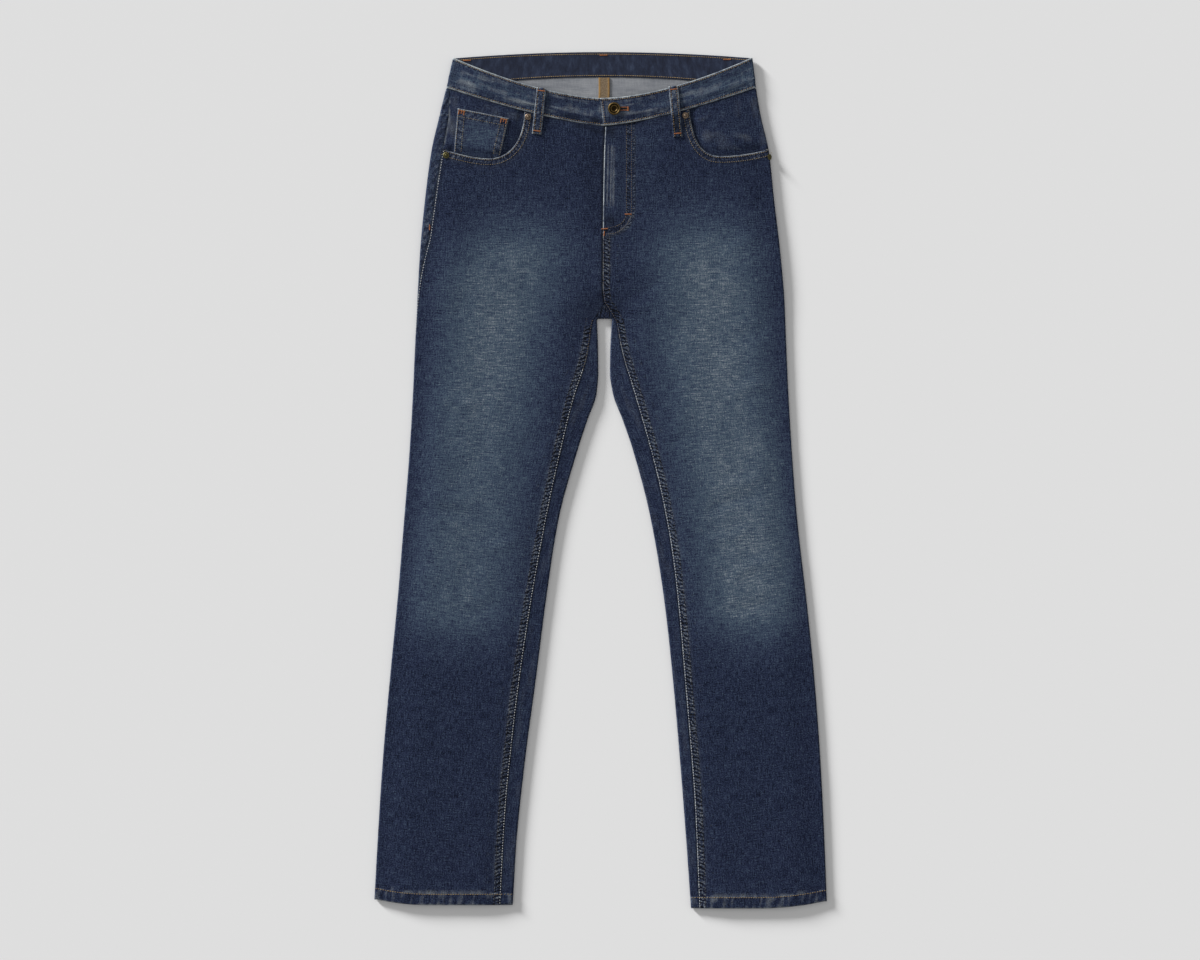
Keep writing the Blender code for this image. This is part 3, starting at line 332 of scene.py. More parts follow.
def noise(x, y, seed):
    """Smooth uneven values from -1 to 1, with cells of one unit."""
    x, y = np.broadcast_arrays(np.asarray(x, float), np.asarray(y, float))
    left, low = np.floor(x), np.floor(y)
    across, up = ease(x - left), ease(y - low)
    bottom = lattice(left, low, seed) * (1 - across) + lattice(left + 1, low, seed) * across
    top = lattice(left, low + 1, seed) * (1 - across) + lattice(left + 1, low + 1, seed) * across
    return bottom * (1 - up) + top * up


def off_line(points, x, y):
    """How far places are from a line, how far along it, and on which side of it: above 0 is to its left."""
    best = np.full(np.shape(x), np.inf)
    along = np.zeros(np.shape(x))
    hand = np.zeros(np.shape(x))
    start = 0.0
    for (ax, ay), (bx, by) in zip(points, points[1:]):
        dx, dy = bx - ax, by - ay
        length = math.hypot(dx, dy)
        t = np.clip(((x - ax) * dx + (y - ay) * dy) / length**2, 0.0, 1.0)
        far = np.hypot(x - ax - t * dx, y - ay - t * dy)
        closer = far < best
        best = np.where(closer, far, best)
        along = np.where(closer, start + t * length, along)
        hand = np.where(closer, np.sign(dx * (y - ay) - dy * (x - ax)), hand)
        start += length
    return best, along, hand


def creases(rows, x, y):
    """Soft ridges and troughs, each fading towards both of its ends."""
    total = np.zeros(np.shape(x))
    for k, (x1, y1, x2, y2, wide, high) in enumerate(rows):
        dx, dy = x2 - x1, y2 - y1
        length = math.hypot(dx, dy)
        t = ((x - x1) * dx + (y - y1) * dy) / length**2
        bend = (0.10 if k % 2 else -0.08) * length * np.sin(np.pi * np.clip(t, 0, 1))
        off = ((x - x1) * dy - (y - y1) * dx) / length + bend
        fade = ease(t / 0.35) * (1 - ease((t - 0.6) / 0.4))
        total += high * bump(off / wide) * fade
    return total


def lift(y):
    """Height of the lowest cloth above the ground."""
    return HIP_LIFT * ease((y - LIFT_FROM) / (LIFT_TO - LIFT_FROM))


def by_side(tables, x, y):
    return np.where(x < SEAT_X, tables["right"](y), tables["left"](y))


def room(x, y):
    """Height of the space between the back and the front."""
    from_outer = np.abs(x - by_side(OUTER, x, y)) - FOLD_OUT
    half = np.abs(by_side(INNER, x, CROTCH_Y) - SEAT_X)
    above = np.hypot(np.maximum(np.abs(x - SEAT_X) - half, 0.0), y - CROTCH_Y)
    below = np.abs(x - by_side(INNER, x, y))
    from_inner = np.where(y >= CROTCH_Y, above, below) - FOLD_OUT
    return EDGE_ROOM + (MID_ROOM - EDGE_ROOM) * ease(np.minimum(from_outer, from_inner) / ROOM_RISE)


def fly_shift(side, x, y):
    """The left front is raised and the right front lowered where one lies on the other."""
    high = ease((y - FLY_FOOT) / (FLY_FULL - FLY_FOOT))
    edge = FRONT_LINE(y)
    if side == "left":
        return FLY_UP * high * (1 - ease((x - edge - FLY_FLAT) / (FLY_WIDTH - FLY_FLAT)))
    return -FLY_DOWN * high * (1 - ease((edge - TUCK_FLAT - x) / (TUCK_WIDTH - TUCK_FLAT)))


def plain_top(side, x, y):
    """Height of the front's outside without its creases."""
    return lift(y) + CLOTH * 2 + room(x, y) + fly_shift(side, x, y)


def hem_line(side, x):
    """y of the lowest edge of a leg."""
    low, rise, start = HEMS[side]
    out = SIDES[side]
    reach = out * (OUTER[side](low) - start) - 2 * FOLD_OUT
    return low + rise * np.clip(out * (x - start) / reach, 0.0, 1.0) ** 2


def outer_rows(side, top):
    """Heights of the rows at the outer fold, from the hem up."""
    low = HEMS[side][0] + HEMS[side][1]
    return spaced(low, top)


def spaced(low, high, step=ROW_STEP):
    return np.linspace(low, high, max(2, round(abs(high - low) / step) + 1))


def flat_from(side, y):
    """Cloth from the outermost line at which the front is flat and clear of the outseam."""
    return np.maximum(OUTSEAM[side](y) + 4.0, QUARTER)


def flat_x(side, y):
    """x of that place."""
    return OUTER[side](y) - SIDES[side] * (FOLD_OUT + flat_from(side, y) - QUARTER)


def inner_line(side, y):
    """x of the front's inner seam: the inseam below the star seam and the fly line above it."""
    return np.where(y <= STAR_Y, INSEAM[side](y), FRONT_LINE(y))


def inner_edge(side, y):
    """x of the front's inner edge, with the part of the right front that lies under the fly."""
    x = inner_line(side, y) + SIDES[side] * HALF_GAP
    if side == "right":
        x = x + FLY_UNDER * ease((y - FLY_FULL) / (FLY_UNDER_FULL - FLY_FULL))
    return x


def bezier(corners, shares):
    """Points of a row of joined cubic curves."""
    parts = (len(corners) - 1) // 3
    corners = np.array(corners, float)
    points = []
    for share in shares:
        k = min(parts - 1, int(share * parts))
        t = share * parts - k
        weights = np.array([(1 - t) ** 3, 3 * t * (1 - t) ** 2, 3 * t * t * (1 - t), t**3])
        points.append(weights @ corners[3 * k : 3 * k + 4])
    return np.array(points)


def measured(points, step):
    """The points of a line, how far along it each one is, and even places about step apart."""
    points = np.asarray(points, float)
    runs = np.concatenate(([0.0], np.cumsum(np.linalg.norm(np.diff(points, axis=0), axis=1))))
    return points, runs, spaced(0.0, runs[-1], step)


def resample(points, step):
    """The same line with even spaces of about step."""
    points, runs, places = measured(points, step)
    return np.stack([np.interp(places, runs, column) for column in points.T], axis=1)


def rounded(points, step):
    """A smooth line through a few points."""
    points, runs, places = measured(points, step)
    return np.stack([smooth_curve(runs, column)(places) for column in points.T], axis=1)


# The waistband's edges


def band_fold_line(side):
    """The outermost line of the band's side fold, low end and high end, and its outward direction."""
    low, high = (np.array((float(OUTER[side](row)), y)) for row, y in zip(BAND_SIDE_ROWS, BAND_SIDE_ENDS))
    along = (high - low) / np.linalg.norm(high - low)
    return low, high, np.array((along[1], -along[0])) * SIDES[side]


def band_corner(side, high):
    """Where the side fold of the band turns flat, at its low or high edge."""
    low_end, high_end, outward = band_fold_line(side)
    return (high_end if high else low_end) - outward * BAND_FOLD_OUT


def band_edge(side, share, high, back):
    """A point of the band's edge: share is 0 at the middle of the garment and 1 at the side fold."""
    corner = band_corner(side, high)
    if back:
        middle, power = (BAND_BACK_LOW, BAND_BACK_TOP)[high], BAND_CURVE_BACK[high]
    else:
        middle, power = (BAND_FRONT_LOW, BAND_FRONT_TOP)[high], BAND_CURVE_FRONT[high]
    x = SEAT_X + (corner[0] - SEAT_X) * share
    return x, middle + (corner[1] - middle) * np.abs(share) ** power


def band_y(x, high=False, back=False):
    """y of the band's lower or upper edge."""
    ys = []
    for side in ("right", "left"):
        share = (x - SEAT_X) / (band_corner(side, high)[0] - SEAT_X)
        ys.append(band_edge(side, np.clip(share, 0.0, 1.0), high, back)[1])
    return np.where(x < SEAT_X, *ys)


def band_plain_z(side, x, y):
    """Height of the middle of the band's wall on the front, with its ends one on the other."""
    level = lift(y) + room(x, y) + 2 * CLOTH + BAND_PROUD - BAND_CLOTH / 2
    off = np.abs(x - SEAT_X)
    overlap = 1 - ease((off - BAND_END_FLAT) / (BAND_END_WIDTH - BAND_END_FLAT))
    if side == "left":
        return level + BAND_END_UP * overlap
    return level - BAND_END_DOWN * np.where(x < SEAT_X, overlap, 1.0)


def mouth_line(side, step=2.0):
    """The pocket mouth, from where the front turns flat by the outseam to the waistband."""
    line = bezier(MOUTHS[side], np.linspace(0, 1, 121))
    start = float(flat_x(side, line[0][1]))
    line = line[SIDES[side] * (line[:, 0] - start) < -0.5]
    line = np.vstack([(start, MOUTHS[side][0][1]), line])
    line[-1] = (line[-1][0], float(band_y(line[-1][0])) - BAND_GAP)
    return resample(line, step)


# How far each place on the cloth stands up, how pale it is rubbed or how dark it is, much of the dark being
# painted shade and shadow, and how faded it is


def sewn(off, run, width, seed, deep=0.10, lip=0.5):
    """A band sewn down along an edge, at off from it: how it stands up, and pale above 0 where rubbed or dark
    below, with a painted shadow in the groove beside its edge.
    """
    across = off / width
    band = ease(off / 0.9) * (1 - ease((off - width + 1.0) / 3.0))
    waves = noise(run / 5.2 + 0.8 * across, 1.6 * across, seed)
    rise = band * (0.18 + deep * waves)
    tone = band * 0.12 * noise(run / 16, across, seed + 5)
    tone += bump((off - 0.5) / 0.75) * (lip + 0.34 * noise(run / 5, 0.3 * off, seed + 3))
    # painted shadow: a dark line in the groove beside the raised edge
    tone -= 0.30 * bump((off - 2.2) / 0.8)
    tone += 0.03 * bump((off - width - 1.4) / 1.6)
    return np.where(off < -0.5, 0.0, rise), np.where(off < -0.5, 0.0, tone)


def marks(*seams):
    """Places on the nearest seam: share of its width, metres along it and strength of its puckers."""
    shape = np.shape(seams[0][0])
    found = np.zeros((*shape, 3))
    best = np.full(shape, 2.2)
    for off, run, width, strength in seams:
        across = off / width
        closer = (across > -0.12) & (across < best) & (strength > 0.01)
        best = np.where(closer, across, best)
        gone = strength * (1 - ease((across - 1.4) / 0.8)) + 0 * across
        here = stacked(across, run * MM, gone)
        found = np.where(closer[..., None], here, found)
    return found


def turned_in(above):
    """How much the folded edge adds to the hem's inside."""
    return HEM_INSIDE * (above < HEM_HIGH + 0.3)


def hem_marks(above, run):
    """The same for a hem: metres above its edge, metres along it, and strength."""
    gone = 1 - ease((above - HEM_HIGH - 6) / 8)
    return stacked(above * MM, run * MM, gone)


def worn_hem(above, run, seed):
    """The folded hem: roped, pale at its lower edge and above its stitches, with painted shade at the foot of
    its upper edge.
    """
    across = above / HEM_HIGH
    band = 1 - ease((above - HEM_HIGH) / 1.0)
    waves = noise(run / 6.0 + 0.9 * across, 0.9 * across, seed)
    rise = band * (HEM_PROUD + 0.20 * waves * ease(across * 3) * (1 - 0.5 * across))
    tone = band * (0.02 + 0.10 * noise(run / 20, across, seed + 1))
    tone += (0.42 + 0.26 * noise(run / 8.0, 0.0, seed + 2)) * bump((above - 0.5) / 0.9)
    tone += (0.24 + 0.20 * noise(run / 5.0, 0.0, seed + 4)) * bump((above - HEM_HIGH - 0.5) / 0.7)
    # painted shade: a dark line at the foot of the hem's raised upper edge
    tone -= 0.22 * bump((above - HEM_HIGH - 2.4) / 1.4)
    return rise, tone


def round_off(off, radius=0.9, depth=0.45):
    """The rounded brim of an edge."""
    return -depth * (1 - np.sqrt(np.clip(1 - (1 - np.clip(off / radius, 0, 1)) ** 2, 0, 1)))


def wash(side, x, y):
    """How faded the front is."""
    pale = WASH[side]
    off = np.abs(x - pale["middle"](y)) / pale["half"](y)
    level = (0.84 if side == "right" else 0.89) * pale["strength"](y) * np.exp(-(off**2.6))
    level *= 1 + 0.10 * noise(x / 34, y / 22, 8) + 0.06 * noise(x / 12, y / 15, 9)
    from_outer = np.abs(x - OUTER[side](y))
    level *= 0.40 + 0.60 * ease(from_outer / 25)
    return level + 0.05 * ease((y + 240) / 60) * (1 - ease((y - 300) / 60)) + 0.01


def seam_off(side, x, y):
    """How far places on a front are from its inner seam."""
    slope = (inner_line(side, y + 1) - inner_line(side, y - 1)) / 2
    off = SIDES[side] * (x - inner_line(side, y)) - HALF_GAP
    return off / np.sqrt(1 + np.clip(slope, -0.9, 0.9) ** 2)


def front_marks(side, x, y):
    """The seams and the hem of a front."""
    if side == "right":
        felled = ease((214 - y) / 10)
    else:
        felled = 1.0 * (y < FLY_ROWS["outer"][-1][1])
    seams = [(seam_off(side, x, y), y, FELL_WIDE, felled)]
    mouth, along, _ = off_line(mouth_line(side, 4.0), x, y)
    seams.append((mouth, along, MOUTH_WIDE, 0.48 * (y > 400)))
    if side == "left":
        outer, along, _ = off_line(rounded(FLY_ROWS["outer"], 4.0), x, y)
        inside = np.where(off_line(rounded(FLY_ROWS["inner"], 4.0), x, y)[0] < 12, outer - 1.0, -9.0)
        seams.append((inside, along, 6.0, 0.70))
    return marks(*seams), hem_marks(y - hem_line(side, x), x)


def dress_front(side, x, y):
    """The front panels: rise, tone and fade at places on them."""
    rise = creases(CREASES[side], x, y)
    rise += 0.22 * noise(x / 31, y / 47, 3) + 0.10 * noise(x / 13, y / 19, 4)
    tone = np.zeros(np.shape(x))
    off = seam_off(side, x, y)

    felled = y < STAR_Y if side == "right" else y < FLY_ROWS["outer"][-1][1]
    seam_rise, seam_tone = sewn(off, y, FELL_WIDE, 11 if side == "right" else 12, lip=0.30)
    by_star = ease((218 - y) / 12) if side == "right" else 1.0
    rise += np.where(felled, seam_rise, 0.0) * by_star
    tone += np.where(felled, seam_tone, 0.0) * by_star

    above = y - hem_line(side, x)
    hem_rise, hem_tone = worn_hem(above, x, 21 if side == "right" else 22)
    rise = np.where(above < HEM_HIGH + 1, rise * 0.3 + hem_rise, rise)
    tone = np.where(above < HEM_HIGH + 6, tone * 0.4 + hem_tone, tone)
    rise += round_off(above, 1.6, 0.8)

    mouth, along, _ = off_line(mouth_line(side, 4.0), x, y)
    mouth_rise, mouth_tone = sewn(mouth, along, MOUTH_WIDE, 31, 0.08, 0.55)
    rise += mouth_rise * (y > 400)
    tone += mouth_tone * (y > 400)
    rise += np.where(y > 400, round_off(mouth), 0.0)

    rise += round_off(off, 0.8, 0.3) * (y < CROTCH_Y)
    fade = wash(side, x, y)
    if side == "left":
        rise_fly, tone_fly = dress_fly(x, y)
        rise += rise_fly
        tone += tone_fly
        fade = fade + 0.10 * ease((y - 330) / 40) * (1 - ease((x - 60) / 40))
    else:
        by_fly = FRONT_LINE(y) - x
        # painted shadow that the fly's raised edge casts on the right front beside it
        tone -= (0.80 * bump((by_fly - 0.6) / 1.3) + 0.20 * bump(by_fly / 5.0)) * (y > STAR_Y)
        # painted shade of a soft crease left of the fly, below the band
        tone -= 0.10 * bump((by_fly - 16) / 14) * bump((y - 440) / 60)
        by_seam = np.abs(x - OUTER[side](y)) - (FOLD_OUT + OUTSEAM[side](y) - QUARTER)
        by_hip = ease((y - 240) / 40)
        tone += 0.12 * bump((by_seam - 1.0) / 1.2) * by_hip * (0.7 + 0.5 * noise(y / 4, 0, 44))
        # painted shadow beside the raised outseam edge
        tone -= 0.22 * bump((by_seam - 4.0) / 2.2) * by_hip
    by_band = band_y(x) - BAND_GAP - y
    # painted shadow of the waistband's edge on the front just below it
    tone -= 0.40 * bump(by_band / 2.2)
    # painted shade in a crease a little below the band
    crease = bump((by_band - 6 - 2.0 * noise(x / 22, 0, 46)) / 3.2)
    tone -= (0.20 + 0.22 * noise(x / 15, 0.0, 45)) * crease * (x > -66) * (x < 90)
    near_star = bump((x - 4) / 26) * bump((y - 226) / 26)
    tone -= 0.35 * near_star
    rise += round_off(by_band, 1.2, 0.35)
    return rise, tone, fade


def dress_fly(x, y):
    """The left front over the fly: its pale edge, the curved rows and the marks of what lies under it."""
    off = x - FRONT_LINE(y) - HALF_GAP
    fly = ease((y - 328) / 12)
    outer, along, _ = off_line(rounded(FLY_ROWS["outer"], 4.0), x, y)
    inner, _, _ = off_line(rounded(FLY_ROWS["inner"], 4.0), x, y)
    between = bump((outer - 3.5) / 2.4) * bump((inner - 3.5) / 2.4)
    waves = noise(along / 3.6, 0.0, 51)
    rise = 0.18 * between * (0.6 + 0.9 * waves)
    rise += fly * round_off(off, 1.0, 0.5)
    tone = between * (0.30 * waves - 0.16)
    tone += fly * bump((off - 0.5) / 0.75) * (0.80 + 0.45 * noise(y / 3.2, 0, 52))
    # painted shade: a dark line in the groove beside the fly's raised edge
    tone -= fly * 0.30 * bump((off - 2.6) / 1.0)
    for middle in (5.4, 9.6, 14.6):
        streak = bump((off - middle - 0.9 * noise(y / 22, middle, 53)) / 1.05)
        long = ease((y - 366) / 14) * (1 - ease((y - 450) / 10))
        tone += (0.44 * streak * (0.75 + 0.5 * noise(y / 8.0, middle, 54)) - 0.01) * long
    dark = bump((off - 9.0) / 8.0) * (bump((y - 352) / 9.0) + 0.8 * bump((y - 470) / 9.0))
    tone -= 0.55 * dark
    tone += 0.25 * bump((outer + 0.2) / 1.6) * (y < 362) * (x > 10)
    return rise, tone


def back_marks(side, x, y):
    """The seams and the hem of a back on the ground."""
    seat = np.abs(x - SEAT_X) - HALF_GAP
    yoke = yoke_seam_y(side, x) - y
    seams = marks((seat, y, FELL_WIDE, 0.42), (yoke, x, FELL_WIDE, 0.42))
    return seams, hem_marks(y - hem_line(side, x), x)


def dress_back(side, x, y):
    """The backs where they lie on the ground: troughs that stay off the ground, and their tone and fade."""
    rise = np.minimum(creases(BACK_CREASES[side], x, y), 0.0)
    rise -= 0.14 * (1 + noise(x / 33, y / 45, 5))
    tone = np.zeros(np.shape(x))
    above = y - hem_line(side, x)
    hem_rise, hem_tone = worn_hem(above, x, 23)
    rise = np.where(above < HEM_HIGH + 1, np.minimum(hem_rise - HEM_PROUD, 0.0) * 0.6, rise)
    tone = np.where(above < HEM_HIGH + 6, hem_tone, tone)
    seat = np.abs(x - SEAT_X) - HALF_GAP
    seat_rise, seat_tone = sewn(seat, y, FELL_WIDE, 24)
    tone += np.where(y > CROTCH_Y, seat_tone, 0.0)
    rise += np.where(y > CROTCH_Y, seat_rise * 0.5, 0.0)
    yoke = yoke_seam_y(side, x) - y
    yoke_rise, yoke_tone = sewn(yoke, x, FELL_WIDE, 25)
    tone += yoke_tone
    rise += yoke_rise * 0.5
    tone -= (0.42 + 0.30 * noise(x / 3.0, y / 4.0, 26)) * bump((x - 4) / 22) * bump((y - 228) / 20)
    fade = 0.30 * bump((np.abs(x - SEAT_X) - 118) / 60) * bump((y - 330) / 110)
    fade += 0.25 * bump((np.abs(x) - 180) / 60) * bump((y + 40) / 170)
    return rise, tone, fade + 0.06


# Meshes of cloth


def fill(outline, dense=None, coarse=5.0):
    """Triangles inside a closed outline: small by its edge and where dense says so, larger elsewhere."""
    outline = np.asarray(outline, float)
    count = len(outline)
    ahead, behind = np.roll(outline, -1, axis=0), np.roll(outline, 1, axis=0)
    along = ahead - behind
    along /= np.linalg.norm(along, axis=1)[:, None]
    area = np.sum(outline[:, 0] * ahead[:, 1] - ahead[:, 0] * outline[:, 1])
    inward = stacked(-along[:, 1], along[:, 0]) * np.sign(area)
    tree = KDTree(count)
    for k, (x, y) in enumerate(outline):
        tree.insert((x, y, 0.0), k)
    tree.balance()

    rings = (0.5, 1.1, 1.9, 2.9, 4.1, 5.4, 6.8, 8.3, 9.8, 11.4, 13.4, 16.2)
    points = [tuple(p) for p in outline]
    for k, ring in enumerate(rings):
        step = 1 if ring < 12 else 2
        for place in (outline + inward * ring)[k % 2 :: step]:
            if tree.find((*place, 0.0))[2] > 0.86 * ring:
                points.append(tuple(place))
    low, high = outline.min(0), outline.max(0)
    for size, wanted in ((coarse, False), (2.0, True)):
        if wanted and dense is None:
            continue
        rows = np.arange(low[1], high[1], size * 0.87)
        for i, y in enumerate(rows):
            xs = np.arange(low[0] + (i % 2) * size / 2, high[0], size)
            near = dense(xs, y) if dense is not None else np.zeros(len(xs), bool)
            for x in xs[near == wanted]:
                if tree.find((x, y, 0.0))[2] > rings[-1] + coarse * 0.5:
                    points.append((x, y))
    edges = [(k, (k + 1) % count) for k in range(count)]
    made = delaunay_2d_cdt([Vector(p) for p in points], edges, [], 1, 1e-6)
    places = np.array([points[found[0]] if found else tuple(v) for v, found in zip(made[0], made[3])])
    return places, [tuple(face) for face in made[2]]


def grain(side, x, y):
    """Places on the cloth in metres, along the weft and the warp."""
    lean = np.radians(LEAN[side]) * ease((250 - y) / 350)
    middle = (OUTER[side](np.minimum(y, 250.0)) + INNER[side](np.minimum(y, CROTCH_Y))) / 2
    return stacked(x - middle, y - np.tan(lean) * (x - middle)) * MM


class Wall:
    """One cloth wall: patches joined where they share an edge, then closed by an inner face and a rim."""

    def __init__(self):
        self.outer, self.inner, self.way, self.uv, self.looks, self.faces = [], [], [], [], [], []
        self.count = 0

    def patch(self, outer, inner, way, faces, uv, tone, fade, seam=None, hem=None):
        """Adds faces and their looks, turned so that they face along way."""
        faces = np.array([f if len(f) == 4 else (*f, f[0]) for f in faces]).reshape(-1, 4)
        a, b, c = (outer[faces[:, k]] for k in (0, 1, 2))
        facing = np.sum(np.cross(b - a, c - a) * way[faces[:, 0]])
        if facing < 0:
            faces = np.stack([faces[:, 2], faces[:, 1], faces[:, 0], np.where(
                faces[:, 3] == faces[:, 0], faces[:, 2], faces[:, 3])], axis=1)
        self.outer.append(outer)
        self.inner.append(inner)
        self.way.append(way)
        self.uv.append(uv)
        none = np.zeros((len(outer), 3))
        seam = none if seam is None else seam
        hem = none if hem is None else hem
        self.looks.append(np.column_stack([tone, fade, seam, hem]))
        self.faces.append(faces + self.count)
        self.count += len(outer)

    def grid(self, outer, inner, way, uv, tone, fade, seam=None, hem=None):
        """A patch from arrays of rows and columns."""
        rows, columns = outer.shape[:2]
        ids = np.arange(rows * columns).reshape(rows, columns)
        faces = stacked(ids[:-1, :-1], ids[:-1, 1:], ids[1:, 1:], ids[1:, :-1]).reshape(-1, 4)
        outer, inner, way, uv = (a.reshape(rows * columns, -1) for a in (outer, inner, way, uv))
        tone, fade = (np.broadcast_to(a, (rows, columns)).ravel() for a in (tone, fade))
        seam, hem = (None if a is None else a.reshape(-1, 3) for a in (seam, hem))
        self.patch(outer, inner, way, faces, uv, tone, fade, seam, hem)

    def fold(self, side, place, way, rise, inn, along, tone, fade, seam=None, hem=None):
        """A patch round a fold. place is its cloth's middle, and along is measured from its first row."""
        outer = place + way * (CLOTH / 2 + rise)[..., None]
        inner = place - way * (inn + 0 * rise)[..., None]
        uv = grain(side, place[:, :1, 0], place[:, :1, 1]) + stacked(along, 0) * MM
        self.grid(outer, inner, way, uv, tone, fade, seam, hem)

    def sheet(self, side, places, faces, top, thick, dress, up=1.0, extra=0.0, marked=None):
        """A patch that lies flat: top gives its plain height, and dress gives its rise, tone and fade."""
        x, y = places[:, 0], places[:, 1]
        rise, tone, fade = dress(side, x, y)
        plain = top(side, x, y)
        outer = stacked(x, y, plain + up * rise)
        inner = stacked(x, y, plain - up * (thick + extra))
        way = np.tile((0.0, 0.0, up), (len(x), 1))
        seam, hem = marked(side, x, y) if marked else (None, None)
        self.patch(outer, inner, way, faces, grain(side, x, y), tone, fade, seam, hem)

    def make(self, name, outside="denim", inside="reverse"):
        """The finished object, with its marks for the materials."""
        outer, inner, uv, looks = (np.concatenate(a) for a in (self.outer, self.inner, self.uv, self.looks))
        faces = np.concatenate(self.faces)
        _, first, same = np.unique(np.round(outer / 0.004), axis=0, return_index=True, return_inverse=True)
        same = same.ravel()
        outer, inner, uv, looks = outer[first], inner[first], uv[first], looks[first]
        count = len(outer)
        shell = []
        for a, b, c, d in same[faces].tolist():
            face = tuple(dict.fromkeys((a, b, c, d)))
            if len(face) > 2:
                shell.append(face)
        sides = {pair for face in shell for pair in zip(face, face[1:] + face[:1])}
        rim = [(b, a, a + count, b + count) for a, b in sides if (b, a) not in sides]
        rim.sort()
        turned = [tuple(i + count for i in reversed(face)) for face in shell]
        corners = (np.concatenate([outer, inner]) * MM).tolist()
        mesh = new_mesh(name, corners, shell + rim + turned)
        mesh.materials.append(finish(outside))
        mesh.materials.append(finish(inside))
        mesh.polygons.foreach_set("material_index", [0] * (len(shell) + len(rim)) + [1] * len(turned))
        for key, column, size in (("tone", 0, 1), ("fade", 1, 1), ("seam", 2, 3), ("hem", 5, 3)):
            mark = mesh.attributes.new(key, "FLOAT" if size == 1 else "FLOAT_VECTOR", "POINT")
            values = np.tile(looks[:, column : column + size], (2, 1)).astype(np.float32)
            mark.data.foreach_set("value" if size == 1 else "vector", values.ravel())
        corners = np.zeros(len(mesh.loops), np.int32)
        mesh.loops.foreach_get("vertex_index", corners)
        both = np.concatenate([uv, uv])[corners]
        mesh.uv_layers.new(name="cloth").data.foreach_set("uv", both.ravel().astype(np.float32))
        return add_object(name, mesh)


def new_mesh(name, corners, faces, edges=()):
    mesh = bpy.data.meshes.new(name)
    mesh.from_pydata(corners, edges, faces)
    return mesh


def place_in_scene(name, data):
    made = bpy.data.objects.new(name, data)
    bpy.context.scene.collection.objects.link(made)
    return made


def add_object(name, mesh):
    """An object for a finished mesh, smooth but for its sharp edges."""
    mesh.validate()
    mesh.shade_smooth()
    mesh.set_sharp_from_angle(angle=math.radians(50))
    return place_in_scene(name, mesh)


def outer_turn(side, y, cloth):
    """Places round the outer fold: the cloth's middle, its outward way and how flat it lies, 0 to 1."""
    out = SIDES[side]
    edge = OUTER[side](y)
    return turn_over(edge - out * FOLD_OUT, y, out, np.zeros(np.shape(y)), cloth)


def turn_rows(side, rows, start, end, count):
    """Rows of cloth round the outer fold from start to end, and their places."""
    cloth = start + (end - start) * np.linspace(0, 1, count)[None, :]
    return (cloth, *outer_turn(side, rows, cloth))


def turn_over(x, y, across_x, across_y, cloth):
    """Places on a fold that starts at x, y and turns outwards. Cloth is above 0 over its outermost line."""
    angle = np.clip(cloth, -QUARTER, QUARTER) / FOLD
    past = np.maximum(np.abs(cloth) - QUARTER, 0.0)
    reach = FOLD * np.cos(angle) - past
    px, py = x + across_x * reach, y + across_y * reach
    z = lift(py) + CLOTH / 2 + FOLD * (1 + np.sin(angle))
    over = cloth >= QUARTER
    z = np.where(over, lift(py) + 1.5 * CLOTH + room(px, py), z)
    place = stacked(px, py, z)
    level = np.cos(angle)
    way = stacked(across_x * level, across_y * level, np.sin(angle))
    return place, way, ease((np.abs(angle) / (math.pi / 2) - 0.35) / 0.65)


# The pieces of cloth


def hem_edge(side, start, end):
    xs = spaced(start, end, 2.0)
    return stacked(xs, hem_line(side, xs))


def front_outline(side):
    """Round the flat part of the front: hem, inner edge, waistband, pocket mouth and outer fold."""
    low = HEMS[side][0]
    mouth = mouth_line(side)
    outer = outer_rows(side, MOUTHS[side][0][1])
    hem = hem_edge(side, float(flat_x(side, outer[0])), float(inner_edge(side, low)))
    top_inner = float(inner_edge(side, BAND_FRONT_LOW))
    inner_ys = spaced(low, float(band_y(top_inner)) - BAND_GAP)
    inner = stacked(inner_edge(side, inner_ys), inner_ys)
    inner[-1][0] = top_inner
    xs = spaced(top_inner, mouth[-1][0], 2.0)
    band = stacked(xs, band_y(xs) - BAND_GAP)
    fold = stacked(flat_x(side, outer), outer)[::-1]
    return np.vstack([hem[:-1], inner[:-1], band[:-1], mouth[::-1][:-1], fold[:-1]])


def make_front(side):
    """The flat front panel, and the part of it that turns over the outer fold to the outseam."""
    wall = Wall()

    def near_fly(x, y):
        return (np.abs(x - 22) < 28) & (y > 322) if side == "left" else np.zeros(np.shape(x), bool)

    places, faces = fill(front_outline(side), near_fly)
    above = places[:, 1] - hem_line(side, places[:, 0])
    extra = turned_in(above)
    wall.sheet(side, places, faces, plain_top, CLOTH, dress_front, extra=extra, marked=front_marks)

    ys = outer_rows(side, MOUTHS[side][0][1])[:, None]
    start, end = flat_from(side, ys), OUTSEAM[side](ys) + HALF_GAP
    cloth, place, way, flat = turn_rows(side, ys, start, end, 7)
    rise, tone, fade = dress_front(side, place[..., 0], place[..., 1])
    by_seam = cloth - end
    rise = rise * flat + round_off(by_seam, 0.8, 0.3) * (1 - flat)
    rise[:, 0] = dress_front(side, place[:, 0, 0], place[:, 0, 1])[0]
    pale = 0.20 * bump((by_seam - 0.6) / 1.3) * (0.55 + 0.9 * noise(ys / 5.0, 0, 61))
    tone = tone * flat + pale * (ys < 470)
    above = place[..., 1] - hem_line(side, place[..., 0])
    inn = CLOTH / 2 + turned_in(above)
    along = (start - cloth) * SIDES[side]
    seam, hem = front_marks(side, place[..., 0], place[..., 1])
    hem[..., 1] = (place[:, :1, 0] + along) * MM
    wall.fold(side, place, way, rise, inn, along, tone, fade, seam, hem)
    return wall.make(f"front_{side}_denim")


def ground_x(side, y):
    """x where the outer fold meets the ground part."""
    return OUTER[side](y) - SIDES[side] * FOLD_OUT


